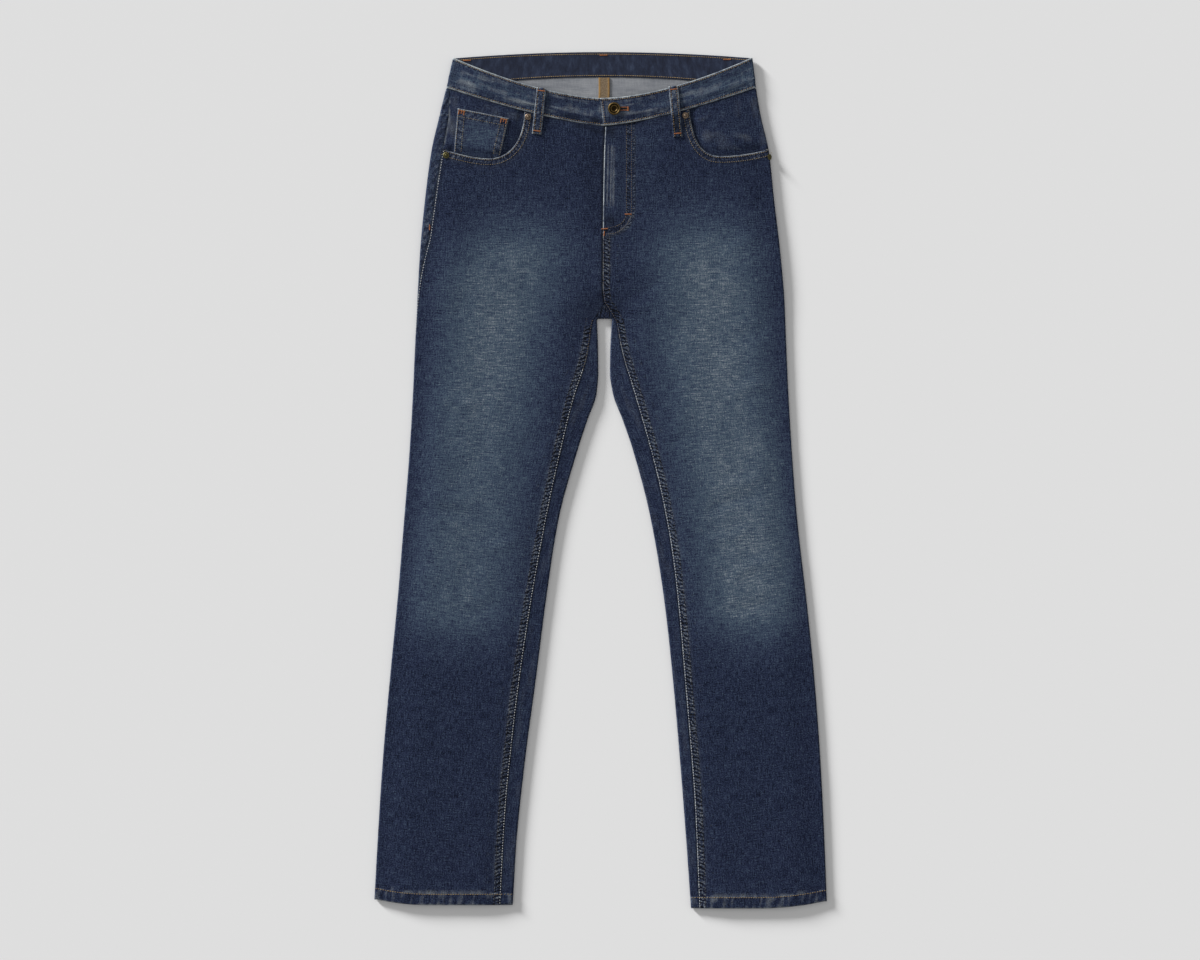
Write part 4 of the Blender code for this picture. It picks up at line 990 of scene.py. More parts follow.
def yoke_seam_y(side, x):
    """y of the seam between the yoke and the back."""
    reach = abs(float(OUTER[side](YOKE_SIDE_Y)) - SEAT_X)
    return YOKE_SEAT_Y + (YOKE_SIDE_Y - YOKE_SEAT_Y) * np.abs(x - SEAT_X) / reach


def ground_top(side, x, y):
    return lift(y)


def inner_fold_rows(side):
    """The rows of the inner fold: where each begins, its outward way and the seam point it runs to."""
    out = SIDES[side]
    leg = spaced(HEMS[side][0], TURN_FROM)
    starts = [(float(INNER[side](y)) + out * FOLD_OUT, y) for y in leg[:-1]]
    ways = [(-out, 0.0)] * len(starts)
    seams = [(float(INSEAM[side](y)) - out * HALF_GAP, y) for y in leg[:-1]]
    edge = float(INNER[side](CROTCH_Y))
    heart = (edge - out * CROTCH_ROUND, CROTCH_Y - CROTCH_ROUND)
    far = CROTCH_ROUND + FOLD_OUT
    turns = np.linspace(0, math.pi / 2, 9)
    for k, turn in enumerate(turns):
        y = TURN_FROM + (TURN_TO - TURN_FROM) * k / (len(turns) - 1)
        way = (-out * math.cos(turn), -math.sin(turn))
        starts.append((heart[0] - way[0] * far, heart[1] - way[1] * far))
        ways.append(way)
        seams.append((float(INSEAM[side](y)) - out * HALF_GAP, y))
    seat = SEAT_X + out * HALF_GAP
    first = starts[-1]
    for share in np.linspace(0, 1, 8)[1:]:
        y = TURN_TO + (STAR_Y - TURN_TO) * share
        x = float(INSEAM[side](y)) - out * HALF_GAP
        if share == 1.0:
            x, y = seat, STAR_Y - 3 * HALF_GAP
        starts.append((first[0] + (seat - first[0]) * share, first[1]))
        ways.append((0.0, -1.0))
        seams.append((x, y))
    return np.array(starts), np.array(ways), np.array(seams)


def make_back(side):
    """The back: its ground part, the outer fold to the outseam and the inner fold to the inseam."""
    out = SIDES[side]
    wall = Wall()
    starts, ways, seams = inner_fold_rows(side)
    seat = SEAT_X + out * HALF_GAP
    outer_ys = outer_rows(side, YOKE_SIDE_Y - HALF_GAP)
    hem = hem_edge(side, float(ground_x(side, outer_ys[0])), starts[0][0])
    hem[-1] = starts[0]
    seat_ys = spaced(starts[-1][1], YOKE_SEAT_Y, 2.0)
    seat_line = stacked(seat, seat_ys)
    seat_line[-1] = (seat, float(yoke_seam_y(side, seat)) - HALF_GAP)
    xs = spaced(seat, float(ground_x(side, outer_ys[-1])), 2.0)
    top = stacked(xs, yoke_seam_y(side, xs) - HALF_GAP)
    top[-1][1] = outer_ys[-1]
    fold = stacked(ground_x(side, outer_ys), outer_ys)[::-1]
    outline = np.vstack([hem[:-1], starts[:-1], seat_line[:-1], top[:-1], fold[:-1]])
    places, faces = fill(outline, coarse=8.0)
    above = places[:, 1] - hem_line(side, places[:, 0])
    edge_off = np.minimum(np.abs(places[:, 0] - ground_x(side, places[:, 1])), 99)
    by_fold = np.minimum(edge_off, off_line(starts[::4], places[:, 0], places[:, 1])[0])

    def dress(side, x, y):
        rise, tone, fade = dress_back(side, x, y)
        return rise * ease(by_fold / 8.0), tone, fade

    extra = turned_in(above)
    wall.sheet(side, places, faces, ground_top, CLOTH, dress, -1.0, extra=extra, marked=back_marks)

    # Round the outer fold to the outseam
    ys = outer_ys[:, None]
    end = OUTSEAM[side](ys) - HALF_GAP
    cloth, place, way, _ = turn_rows(side, ys, -QUARTER, end, 13)
    by_seam = end - cloth
    rise, tone = sewn(by_seam, ys, 8.5, 62, 0.22, 0.10)
    front = ease(cloth / 2.5) * ease((OUTSEAM[side](ys) - 1.0) / 3.0)
    seam = marks((by_seam, 0.42 * ys, 8.5, 0.40 * front))
    edge = bump((cloth - 0.8) / 1.4) * (0.5 + 0.8 * noise(ys / 6.0, 0, 63))
    tone = tone * front + 0.30 * edge * ease((300 - ys) / 60)
    rise = rise * front + round_off(by_seam, 0.8, 0.3)
    rise[:, 0] = 0.0
    above = place[..., 1] - hem_line(side, place[..., 0])
    hem = hem_marks(above, ground_x(side, ys) + (cloth + QUARTER) * out)
    hem_tone = worn_hem(above, cloth, 26)[1]
    tone = np.where(above < HEM_HIGH + 6, hem_tone, tone)
    inn = CLOTH / 2 + turned_in(above)
    fade = 0.16 + 0.06 * ease((300 - ys) / 200)
    wall.fold(side, place, way, rise, inn, (cloth + QUARTER) * out, tone, fade, seam, hem)

    # Round the inner fold and over to the inseam
    arcs = np.linspace(-QUARTER, QUARTER, 9)
    count = len(starts)
    px, py = starts[:, :1], starts[:, 1:]
    wx, wy = ways[:, :1], ways[:, 1:]
    arc_place, arc_way, _ = turn_over(px, py, wx, wy, arcs[None, :] + 0 * px)
    shares = np.linspace(0, 1, 16)[1:]
    fx = px + (seams[:, :1] - px) * shares[None, :]
    fy = py + (seams[:, 1:] - py) * shares[None, :]
    fz = lift(fy) + 1.5 * CLOTH + room(fx, fy)
    arc_place[:, -1, 2] = (lift(py) + 1.5 * CLOTH + room(px, py))[:, 0]
    place = np.concatenate([arc_place, stacked(fx, fy, fz)], axis=1)
    up = np.tile((0.0, 0.0, 1.0), (count, len(shares), 1))
    way = np.concatenate([arc_way, up], axis=1)
    gap = np.hypot(place[..., 0] - seams[:, :1], place[..., 1] - seams[:, 1:])
    run = np.arange(count)[:, None] * ROW_STEP + 0 * gap
    on_top = np.concatenate([np.zeros((count, len(arcs) - 1)), np.ones((count, len(shares) + 1))], axis=1)
    rise = on_top * (round_off(gap, 0.9, 0.4) + 0.10 * noise(run / 14, gap / 9, 64) * ease(gap / 3))
    crotch = ease((run / ROW_STEP - (count - 17)) / 6.0)
    rise += on_top * crotch * 0.22 * noise(run / 3.0, gap / 3.0, 65)
    # painted shadow: a dark line where the back meets the front's raised seam edge
    tone = -0.45 * bump(gap / 1.6) + 0.05 * noise(run / 22, gap / 7, 66) * on_top
    tone += crotch * on_top * (0.30 * noise(run / 4.6, gap / 4.4, 67) - 0.30)
    arc_share = np.concatenate([arcs, np.full(len(shares), 9.0)])[None, :]
    tone += 0.14 * bump((arc_share - 0.6) / 1.0) * (0.4 + 0.8 * noise(run / 6, 0, 68)) * (1 - crotch)
    above = place[..., 1] - hem_line(side, place[..., 0])
    hem_rise, hem_tone = worn_hem(above, place[..., 0], 27)
    in_hem = above < HEM_HIGH + 1
    rise = np.where(in_hem, on_top * (hem_rise + round_off(above, 1.6, 0.8)), rise)
    rise[:, 0] = 0.0
    tone = np.where(above < HEM_HIGH + 6, hem_tone + 0.5 * tone, tone)
    inn = CLOTH / 2 + turned_in(above)
    over = 2 * QUARTER + np.hypot(fx - px, fy - py)
    cloth = np.concatenate([np.tile(arcs + QUARTER, (count, 1)), over], axis=1)
    fade = 0.06 + 0.03 * noise(run / 40, gap / 12, 69) + 0.04 * ease((py - 60) / 120)
    seam = marks((gap - 0.4, run, 9.0, crotch * on_top))
    hem = hem_marks(above, px - out * cloth)
    wall.fold(side, place, way, rise, inn, -out * cloth, tone, fade, seam, hem)
    return wall.make(f"back_{side}_denim")


def make_yoke(side):
    """The yoke lies under the waistband at the back, and turns up to the outseam."""
    out = SIDES[side]
    wall = Wall()
    seat = SEAT_X + out * HALF_GAP
    ys = spaced(YOKE_SIDE_Y + HALF_GAP, BAND_SIDE_Y - REST_GAP)
    outer_xs = ground_x(side, ys)
    low_xs = spaced(float(outer_xs[0]), seat, 2.5)
    low = stacked(low_xs, yoke_seam_y(side, low_xs) + HALF_GAP)
    low[0][1] = ys[0]
    top_xs = spaced(seat, float(outer_xs[-1]), 2.5)
    top = stacked(top_xs, band_y(top_xs, back=True) - REST_GAP)
    top[-1][1] = ys[-1]
    seat_ys = spaced(low[-1][1], top[0][1], 2.0)
    seat_line = stacked(seat, seat_ys)
    fold = stacked(outer_xs, ys)[::-1]
    outline = np.vstack([low[:-1], seat_line[:-1], top[:-1], fold[:-1]])
    places, faces = fill(outline, coarse=7.0)
    by_fold = np.abs(places[:, 0] - ground_x(side, places[:, 1]))

    def dress(side, x, y):
        yoke = y - yoke_seam_y(side, x)
        rise, tone = sewn(yoke, x, 3.0, 71)
        seat_rise, seat_tone = sewn(np.abs(x - SEAT_X) - HALF_GAP, y, FELL_WIDE, 24)
        rise = -0.1 * (1 + noise(x / 30, y / 20, 72)) + 0.4 * (rise + seat_rise)
        return rise * ease(by_fold / 6.0), tone + seat_tone, 0.1 + 0 * x

    wall.sheet(side, places, faces, ground_top, CLOTH, dress, -1.0)
    rows = ys[:, None]
    end = OUTSEAM[side](rows) - HALF_GAP
    cloth, place, way, _ = turn_rows(side, rows, -QUARTER, end, 11)
    place[..., 1] = np.minimum(place[..., 1], band_y(place[..., 0]) - REST_GAP)
    place[:, 0, 1] = ys
    by_seam = end - cloth
    rise, tone = sewn(by_seam, rows, 8.5, 73, 0.22, 0.12)
    front = ease(cloth / 2.5)
    seam = marks((by_seam, 0.42 * rows, 8.5, 0.40 * front))
    rise = rise * front
    rise[:, 0] = 0.0
    by_low = rows - rows[0]
    tone = tone * front + 0.5 * bump((by_low - 0.6) / 1.0)
    wall.fold(side, place, way, rise, CLOTH / 2, (cloth + QUARTER) * out, tone, 0.16, seam)
    return wall.make(f"yoke_{side}_denim")


# The waistband


def band_stations():
    """The strip's cross lines from its right end round to its left end: kind, side and share or turn."""
    stations = [("front", "right", s) for s in np.linspace(-0.12, 1.0, 122)]
    stations += [("fold", "right", math.radians(a)) for a in np.linspace(76, -76, 9)]
    stations += [("back", "right", s) for s in np.linspace(1.0, 0.0, 96)[:-1]]
    stations += [("back", "left", s) for s in np.linspace(0.0, 1.0, 96)]
    stations += [("fold", "left", math.radians(a)) for a in np.linspace(-76, 76, 9)]
    return stations + [("front", "left", s) for s in np.linspace(1.0, 0.0, 110)]


def band_heights():
    """Shares of the band's height, close together by its edges."""
    edge = np.array((0.0, 0.012, 0.03, 0.055, 0.085, 0.12, 0.16, 0.21))
    middle = np.linspace(0.27, 0.73, 9)
    return np.concatenate([edge, middle, 1 - edge[::-1]])


def dress_band(x, v, away, seed):
    """The band, v from 0 at its lower to 1 at its upper edge, away from its ends: rise, tone and fade."""
    low, high = v * BAND_HIGH, (1 - v) * BAND_HIGH
    rise = round_off(low, 1.0, 0.6) + round_off(high, 1.0, 0.6)
    rise += 0.12 * noise(x / 36, v * 3.4, seed) + 0.05 * noise(x / 9, v * 4.5, seed + 1)
    rise -= 0.16 * bump((low - 2.6) / 0.8) + 0.16 * bump((high - 2.8) / 0.8)
    ridge = v - 0.34 - 0.05 * noise(x / 45, 0, seed + 2)
    rise += 0.30 * bump(ridge / 0.09) - 0.22 * bump((ridge + 0.17) / 0.07)
    tone = bump((high - 0.7) / 1.1) * (0.84 + 0.3 * noise(x / 5, 0, seed + 3))
    tone += bump((low - 0.7) / 1.1) * (0.72 + 0.4 * noise(x / 5, 0, seed + 4))
    # painted shade in the grooves along the stitched rows by both edges
    tone -= 0.25 * bump((low - 3.0) / 1.2) + 0.2 * bump((high - 3.2) / 1.2)
    tone += bump((ridge - 0.02) / 0.08) * (0.16 + 0.30 * noise(x / 22, v * 7, seed + 5))
    tone += 0.22 * noise(x / 24, v * 12, seed + 6) + 0.12 * noise(x / 4, v * 5, seed + 8)
    # painted shade in the trough below the band's ridge
    tone -= 0.26 * bump((ridge + 0.15) / 0.05) * (0.7 + 0.6 * noise(x / 16, 0, seed + 9))
    # painted shade on the right end beside the left end that lies on it
    tone -= 0.45 * bump((x - 37) / 5.5) * ease((0.42 - v) / 0.08)
    fade = 0.08 + 0.08 * noise(x / 26, v * 4, seed + 7) + 0.10 * bump((v - 0.45) / 0.3)
    fade += 0.08 * ease((away - 70) / 50)
    fade += (0.06 + 0.08 * ease((x - 400) / 50)) * ease((away - 110) / 70)
    return rise, tone, fade


def make_waistband():
    """One strip, folded at both sides, with its ends one on the other and a cut buttonhole."""
    stations = band_stations()
    v = band_heights()
    rows = len(stations)
    place = np.zeros((rows, len(v), 3))
    way = np.zeros((rows, len(v), 3))
    for i, (kind, side, share) in enumerate(stations):
        if kind == "fold":
            low, high, outward = band_fold_line(side)
            across, up = math.cos(share), math.sin(share)
            spot = low + (high - low) * v[:, None] - outward * (BAND_FOLD_OUT - BAND_FOLD * across)
            z = lift(spot[:, 1]) + BAND_CLOTH / 2 + BAND_FOLD * (1 + up)
            place[i] = np.column_stack([spot, z])
            way[i] = (outward[0] * across, outward[1] * across, up)
            continue
        back = kind == "back"
        low, high = (np.array(band_edge(side, share, top, back)) for top in (False, True))
        spot = low + (high - low) * v[:, None]
        if side == "left" and not back:
            end = BAND_END_X - BAND_END_LEAN * v
            near = 1 - ease(share / BAND_END_SHARE)
            spot[:, 0] += (end - SEAT_X) * near
        if back:
            z = lift(spot[:, 1]) + BAND_CLOTH / 2
        else:
            z = band_plain_z(side, spot[:, 0], spot[:, 1])
        place[i] = np.column_stack([spot, z])
        way[i] = (0.0, 0.0, -1.0 if back else 1.0)
    steps = np.linalg.norm(np.diff(place[:, 8], axis=0), axis=1)
    run = np.concatenate([[0.0], np.cumsum(steps)])[:, None] + 0 * v[None, :]
    vs = v[None, :] + 0 * run
    rise, tone, fade = dress_band(run, vs, np.minimum(run - run[0, 0], run[-1, 0] - run), 81)
    hidden = way[..., 2] < -0.2
    rise = np.where(hidden, np.minimum(rise, 0.0) * 0.5, rise)
    end_off = run[-1, 0] - run
    rise += round_off(end_off, 1.0, 0.6)
    # pale rubbed end edge, and painted shade in the groove of its stitched row
    tone += bump((end_off - 0.7) / 0.9) * 0.75 - 0.3 * bump((end_off - 3.0) / 1.2)
    inn = BAND_CLOTH / 2 - 0.12 * np.abs(noise(run / 8, vs * 3, 84))
    inn -= 0.25 * (1 - ease(vs * BAND_HIGH / 1.2))
    outer = place + way * (BAND_CLOTH / 2 + rise)[..., None]
    uv = stacked(run, vs * BAND_HIGH) * MM
    edge = np.minimum(vs, 1 - vs) * BAND_HIGH
    seam = marks((edge - 0.8, 0.7 * run, 4.2, 0.45))
    wall = Wall()
    wall.grid(outer, place - way * inn[..., None], way, uv, tone, fade, seam)
    band = wall.make("waistband_denim", inside="band inside")
    cut_buttonhole(band)
    return band


def keyhole(grow=0.0):
    """The outline of the buttonhole round the button's place, in millimetres."""
    x, y = BUTTON_AT
    eye, half, long = EYE_R + grow, SLOT_HALF + grow, SLOT_LONG - EYE_R + grow
    turn = math.asin(min(1.0, half / eye))
    angles = np.linspace(turn, 2 * math.pi - turn, 20)
    points = [(eye * math.cos(a), eye * math.sin(a)) for a in angles]
    points += [(long - 1.0, -half), (long - 0.2, 0.0), (long - 1.0, half)]
    return np.array(points) + (x, y)


def cut_buttonhole(band):
    """Cuts the keyhole through the band's left end alone."""
    outline = keyhole()
    middle = float(band_plain_z("left", *BUTTON_AT))
    count = len(outline)
    corners = [(x * MM, y * MM, z * MM) for z in (middle - CUT_BELOW, middle + CUT_ABOVE) for x, y in outline]
    faces = [tuple(reversed(range(count))), tuple(range(count, 2 * count))]
    faces += [(k, (k + 1) % count, (k + 1) % count + count, k + count) for k in range(count)]
    cutter = place_in_scene("buttonhole_cutter", new_mesh("buttonhole_cutter", corners, faces))
    cut = band.modifiers.new("buttonhole", "BOOLEAN")
    cut.operation = "DIFFERENCE"
    cut.object = cutter
    finished = bpy.data.meshes.new_from_object(band.evaluated_get(bpy.context.evaluated_depsgraph_get()))
    band.modifiers.clear()
    band.data = finished
    bpy.data.objects.remove(cutter)


# What shows in the front pocket mouths


def facing_drop(side, x, y):
    """How much lower than the front the facing lies: most at the mouth and under the front."""
    far, _, hand = off_line(mouth_line(side, 4.0), x, y)
    along = ease(SIDES[side] * (flat_x(side, y) - x) / 10)
    shown = hand * SIDES[side] < 0
    return DROP * along * np.where(shown, 1 - ease((far - 3) / 10), 1.0)


def facing_top(side, x, y):
    middle = lift(y) + CLOTH * 1.5 + room(x, y) - facing_drop(side, x, y)
    return middle + FACING_CLOTH / 2


def facing_creases(side, x, y):
    if side == "right":
        rows = ((-205, 500, -196, 462, 5.0, 0.30), (-118, 490, -112, 456, 4.0, -0.30))
    else:
        rows = (
            (124, 485, 158, 505, 3.0, 0.32), (126, 470, 154, 485, 3.0, -0.42),
            (136, 466, 168, 478, 3.4, 0.25), (172, 470, 214, 456, 2.6, 0.35),
            (176, 464, 214, 450, 2.6, -0.42), (196, 482, 221, 474, 3.2, -0.25),
        )
    return creases(rows, x, y)


def dress_facing(side, x, y):
    """The facings: creased, with painted shade inside the mouth, painted shadow under the band, and painted
    light and shade on the creases.
    """
    rise = facing_creases(side, x, y) + 0.10 * noise(x / 14, y / 17, 91)
    far = off_line(mouth_line(side, 4.0), x, y)[0]
    by_band = band_y(x) - REST_GAP - y
    # painted shade inside the pocket mouth and painted shadow under the band
    tone = -0.35 * bump(far / 4.0) - 0.25 * bump(by_band / 3.0) + 0.08 * noise(x / 11, y / 16, 92)
    # painted light and shade: the creases' ridges pale and their troughs dark
    tone += 0.35 * facing_creases(side, x, y)
    fade = np.full(np.shape(x), 0.04)
    if side == "left":
        fade = 0.04 + 0.06 * bump((x - 180) / 26) * bump((y - 478) / 24)
    rise += round_off(by_band, 1.2, 0.3)
    return rise * ease(far / 5.0), tone, fade


def make_facing(side):
    """The hip facing, from the waistband and the outseam to just under the front's pocket mouth."""
    out = SIDES[side]
    wall = Wall()
    mouth = mouth_line(side)
    mouth_y = MOUTHS[side][0][1]
    top_y = BAND_SIDE_Y - REST_GAP
    ys = spaced(mouth_y + 0.8, top_y)
    fold = stacked(flat_x(side, ys), ys)
    fold[-1][1] = float(band_y(fold[-1][0])) - REST_GAP
    end_x = mouth[-1][0] - out * TUCK_UNDER
    xs = spaced(float(fold[-1][0]), end_x, 2.0)
    top = stacked(xs, band_y(xs) - REST_GAP)
    share = np.linspace(0, 1, len(mouth))
    tuck = TUCK_UNDER * ease((share - 0.04) / 0.14)
    beyond = offset(mouth, out * tuck[:, None])
    beyond[0] = (fold[0][0], fold[0][1])
    low = beyond[(share > 0.02) & (beyond[:, 1] < float(band_y(end_x)) - 3.0)][::-1]
    outline = np.vstack([fold[:-1], top, low])
    places, faces = fill(outline)
    wall.sheet(side, places, faces, facing_top, FACING_CLOTH, dress_facing)
    rows = ys[:, None]
    start, end = flat_from(side, rows), OUTSEAM[side](rows) + HALF_GAP
    cloth, place, way, _ = turn_rows(side, rows, start, end, 6)
    place[..., 1] = np.minimum(place[..., 1], band_y(place[..., 0]) - REST_GAP)
    rise, tone, fade = dress_facing(side, place[..., 0], place[..., 1])
    half = FACING_CLOTH / 2
    by_seam = cloth - end
    tone = tone + 0.3 * bump((by_seam - 0.8) / 1.3) * (0.6 + 0.8 * noise(rows / 4.5, 0, 93))
    outer = place + way * (half + rise * (cloth > QUARTER))[..., None]
    outer[:, 0, 2] = facing_top(side, outer[:, 0, 0], outer[:, 0, 1]) + rise[:, 0]
    along = (start - cloth) * out
    uv = grain(side, place[:, :1, 0], place[:, :1, 1]) + stacked(along, 0) * MM
    wall.grid(outer, place - way * half, way, uv, tone, fade)
    return wall.make(f"pocket_facing_{side}_denim")


COIN_TOP = ((-193.8, 504.7), (-124.6, 491.0))
COIN_LOW_X = (-199.0, -136.5)


def coin_low(x):
    """y of the coin pocket's low edge, just past the pocket mouth."""
    mouth = mouth_line("right", 4.0)
    order = np.argsort(mouth[:, 0])
    return np.interp(x, mouth[order, 0], mouth[order, 1]) + 0.7


def coin_edges():
    """The coin pocket's left, top and right edges."""
    low = [(x, float(coin_low(x))) for x in COIN_LOW_X]
    return np.array([low[0], COIN_TOP[0], COIN_TOP[1], low[1]])


def coin_top(side, x, y):
    return facing_top(side, x, y) + REST_GAP + 0.25 + COIN_CLOTH


def dress_coin(side, x, y):
    """The coin pocket: pale sewn edges on three sides, faded in its middle, and painted shade where it goes
    down into the pocket mouth.
    """
    corners = coin_edges()
    left, run_left, _ = off_line(corners[0:2], x, y)
    top, run_top, _ = off_line(corners[1:3], x, y)
    right, run_right, _ = off_line(corners[2:4], x, y)
    rise = np.zeros(np.shape(x))
    tone = np.zeros(np.shape(x))
    for off, run, wide, seed in (
        (left, run_left, COIN_SIDE_BAND, 101),
        (right, run_right, COIN_SIDE_BAND, 102),
        (top, run_top, COIN_TOP_HEM, 103),
    ):
        more, mark = sewn(off, run, wide, seed, 0.12, 0.6)
        rise += 0.6 * more + round_off(off, 0.8, 0.45)
        tone += 0.75 * mark
    rise += 0.08 * noise(x / 9, y / 9, 104)
    middle = bump((x + 163) / 22) * bump((y - 468) / 20)
    fade = 0.12 + 0.34 * middle
    # painted shade where the pocket goes down into the mouth
    low = off_line(mouth_line("right", 4.0), x, y)[0]
    return rise, tone - 0.3 * bump(low / 4), fade


def coin_marks(side, x, y):
    """The sewn bands of the coin pocket."""
    corners = coin_edges()
    seams = []
    for k, wide in ((0, COIN_SIDE_BAND), (1, COIN_TOP_HEM), (2, COIN_SIDE_BAND)):
        off, run, _ = off_line(corners[k : k + 2], x, y)
        seams.append((off - 0.8, 0.6 * run + 40 * k, wide, 0.45))
    return marks(*seams), None


def make_coin_pocket():
    """The coin pocket on the right facing, from its hem down into the pocket mouth."""
    corners = coin_edges()
    xs = spaced(*COIN_LOW_X, 1.6)
    low = stacked(xs, coin_low(xs))
    right = resample([low[-1], corners[2]], 1.6)
    top = resample([corners[2], corners[1]], 1.6)
    left = resample([corners[1], low[0]], 1.6)
    places, faces = fill(np.vstack([low[:-1], right[:-1], top[:-1], left[:-1]]), coarse=3.0)
    wall = Wall()
    wall.sheet("right", places, faces, coin_top, COIN_CLOTH, dress_coin, marked=coin_marks)
    return wall.make("coin_pocket_denim")


# Belt loops, tape and back pockets

FRONT_LOOPS = {
    "belt_loop_front_right": ((-80.1, 532.3), (-86.7, 469.6)),
    "belt_loop_front_left": ((98.8, 534.7), (105.0, 465.7)),
}
BACK_LOOPS = {
    "belt_loop_back_right": -181.0,
    "belt_loop_back_middle": 4.5,
    "belt_loop_back_left": 176.0,
}
BACK_LOOP_LONG = 52.0

# The back pockets: from the seat seam to their middle line, and their corners from that line outwards
POCKET_MIDDLE = 112.0
POCKET_CORNERS = ((-76.0, 447.0), (-67.0, 317.0), (0.0, 303.0), (67.0, 327.0), (76.0, 457.0))


def front_skin(side, x, y):
    """Height of the front's finished outside."""
    return plain_top(side, x, y) + dress_front(side, x, y)[0]


def band_skin(side, x, y):
    """Height of the band's finished outside on the front, without its small waves."""
    return band_plain_z(side, x, y) + BAND_CLOTH / 2


def loop_frame(name):
    """A front loop's middle line, its way across and its heights, from its top end down."""
    top, low = (np.array(p) for p in FRONT_LOOPS[name])
    side = "right" if top[0] < SEAT_X else "left"
    shares = np.linspace(0, 1, 46)
    middle = top + (low - top) * shares[:, None]
    across = np.array((low[1] - top[1], top[0] - low[0]))
    across = across / np.linalg.norm(across)
    floors = []
    for k in (-0.5, 0.0, 0.5):
        spot = middle + across * LOOP_WIDE * k
        on_band = spot[:, 1] > band_y(spot[:, 0]) - 4.0
        floors.append(np.where(on_band, band_skin(side, *spot.T) + 0.35, front_skin(side, *spot.T) + 0.15))
    floor = np.max(floors, axis=0)
    wide = np.concatenate([[floor[0]] * 4, floor, [floor[-1]] * 4])
    floor = np.array([np.max(wide[k : k + 9]) for k in range(len(floor))])
    floor = np.convolve(np.concatenate([[floor[0]] * 3, floor, [floor[-1]] * 3]), np.ones(7) / 7, "valid")
    arch = LOOP_ARCH * np.sin(np.pi * np.clip(shares / 0.92, 0, 1)) ** 0.8
    z = floor + 0.1 + arch
    return side, middle, across, z, shares


def dress_loop(off, run, long, seed):
    """off is from the loop's middle line."""
    edge = LOOP_WIDE / 2 - np.abs(off)
    rise = round_off(edge, 1.1, 0.55) + 0.25 * bump(off / 3.2)
    rise += 0.10 * noise(run / 3.5, off / 3, seed)
    tone = 0.55 * bump((edge - 0.8) / 0.8) + 0.35 * noise(run / 3.0, off / 2.4, seed + 1)
    # painted shade in the grooves along the loop's stitched rows
    tone -= 0.3 * bump((edge - 2.8) / 0.9)
    ends = np.minimum(run, long - run)
    tone += 0.4 * bump(ends / 1.2)
    rise -= 0.25 * bump((ends - 4.0) / 1.6)
    rise += round_off(ends, 1.0, 0.5)
    return rise, tone, 0.20 + 0.1 * noise(run / 12, off / 5, seed + 2)


LOOP_OFFS = (-6.5, -6.0, -5.4, -4.6, -3.6, -2.4, -1.2, 0, 1.2, 2.4, 3.6, 4.6, 5.4, 6.0, 6.5)
BACK_LOOP_OFFS = (-6.5, -6.0, -5.2, -3.8, -2.0, 0, 2.0, 3.8, 5.2, 6.0, 6.5)
TAPE_OFFS = (-7.5, -7.1, -6.4, -5.4, -4.0, -2.0, 0, 2.0, 4.0, 5.4, 6.4, 7.1, 7.5)
TAPE_TOP = 546.8
TAPE_LOW = 430.0


def strip_places(offs, runs):
    """How far places are from the middle line of a strip, and how far along it."""
    return np.broadcast_arrays(np.array(offs)[None, :], runs[:, None])


def make_strip(name, outer, inner, up, uv, tone, fade, seam=None, **finishes):
    """A narrow flat piece of cloth that faces up or down."""
    wall = Wall()
    way = np.tile((0.0, 0.0, up), (*outer.shape[:2], 1))
    wall.grid(outer, inner, way, np.stack(uv, -1) * MM, tone, fade, seam)
    return wall.make(name, **finishes)


def make_front_loop(name):
    """A belt loop that arches over the waistband and ends on the front."""
    side, middle, across, z, shares = loop_frame(name)
    long = np.linalg.norm(middle[-1] - middle[0])
    off, run = strip_places(LOOP_OFFS, shares * long)
    rise, tone, fade = dress_loop(off, run, long, 111 if side == "right" else 115)
    spots = middle[:, None, :] + across * off[..., None]
    outer = np.concatenate([spots, (z[:, None] + LOOP_CLOTH + rise)[..., None]], axis=-1)
    inner = np.concatenate([spots, (z[:, None] + 0 * off)[..., None]], axis=-1)
    seam = marks((LOOP_WIDE / 2 - np.abs(off) - 0.6, run * np.sign(off + 0.01) * 0.8, 4.2, 0.5))
    dark = 0.45 * ease((run - 34) / 8) * (side == "left")
    return make_strip(f"{name}_denim", outer, inner, 1.0, (off, -run), tone - dark, fade, seam)


def make_back_loop(name):
    """A belt loop under the garment, flat on the ground."""
    x = BACK_LOOPS[name]
    top = float(band_y(x, high=True, back=True)) - 1.0
    off, run = strip_places(BACK_LOOP_OFFS, np.linspace(0, BACK_LOOP_LONG, 34))
    rise, tone, fade = dress_loop(off, run, BACK_LOOP_LONG, 121)
    rise = np.minimum(rise - 0.25, 0.0) * 0.8
    spots = stacked(x + off, top - run)
    outer = np.concatenate([spots, -rise[..., None]], axis=-1)
    inner = np.concatenate([spots, np.full((*off.shape, 1), PATCH_CLOTH)], axis=-1)
    return make_strip(f"{name}_denim", outer, inner, -1.0, (off, run), tone, fade)


def pocket_corners(side):
    """The five corners of a back pocket."""
    out = SIDES[side]
    return np.array([(SEAT_X + out * POCKET_MIDDLE + out * across, y) for across, y in POCKET_CORNERS])


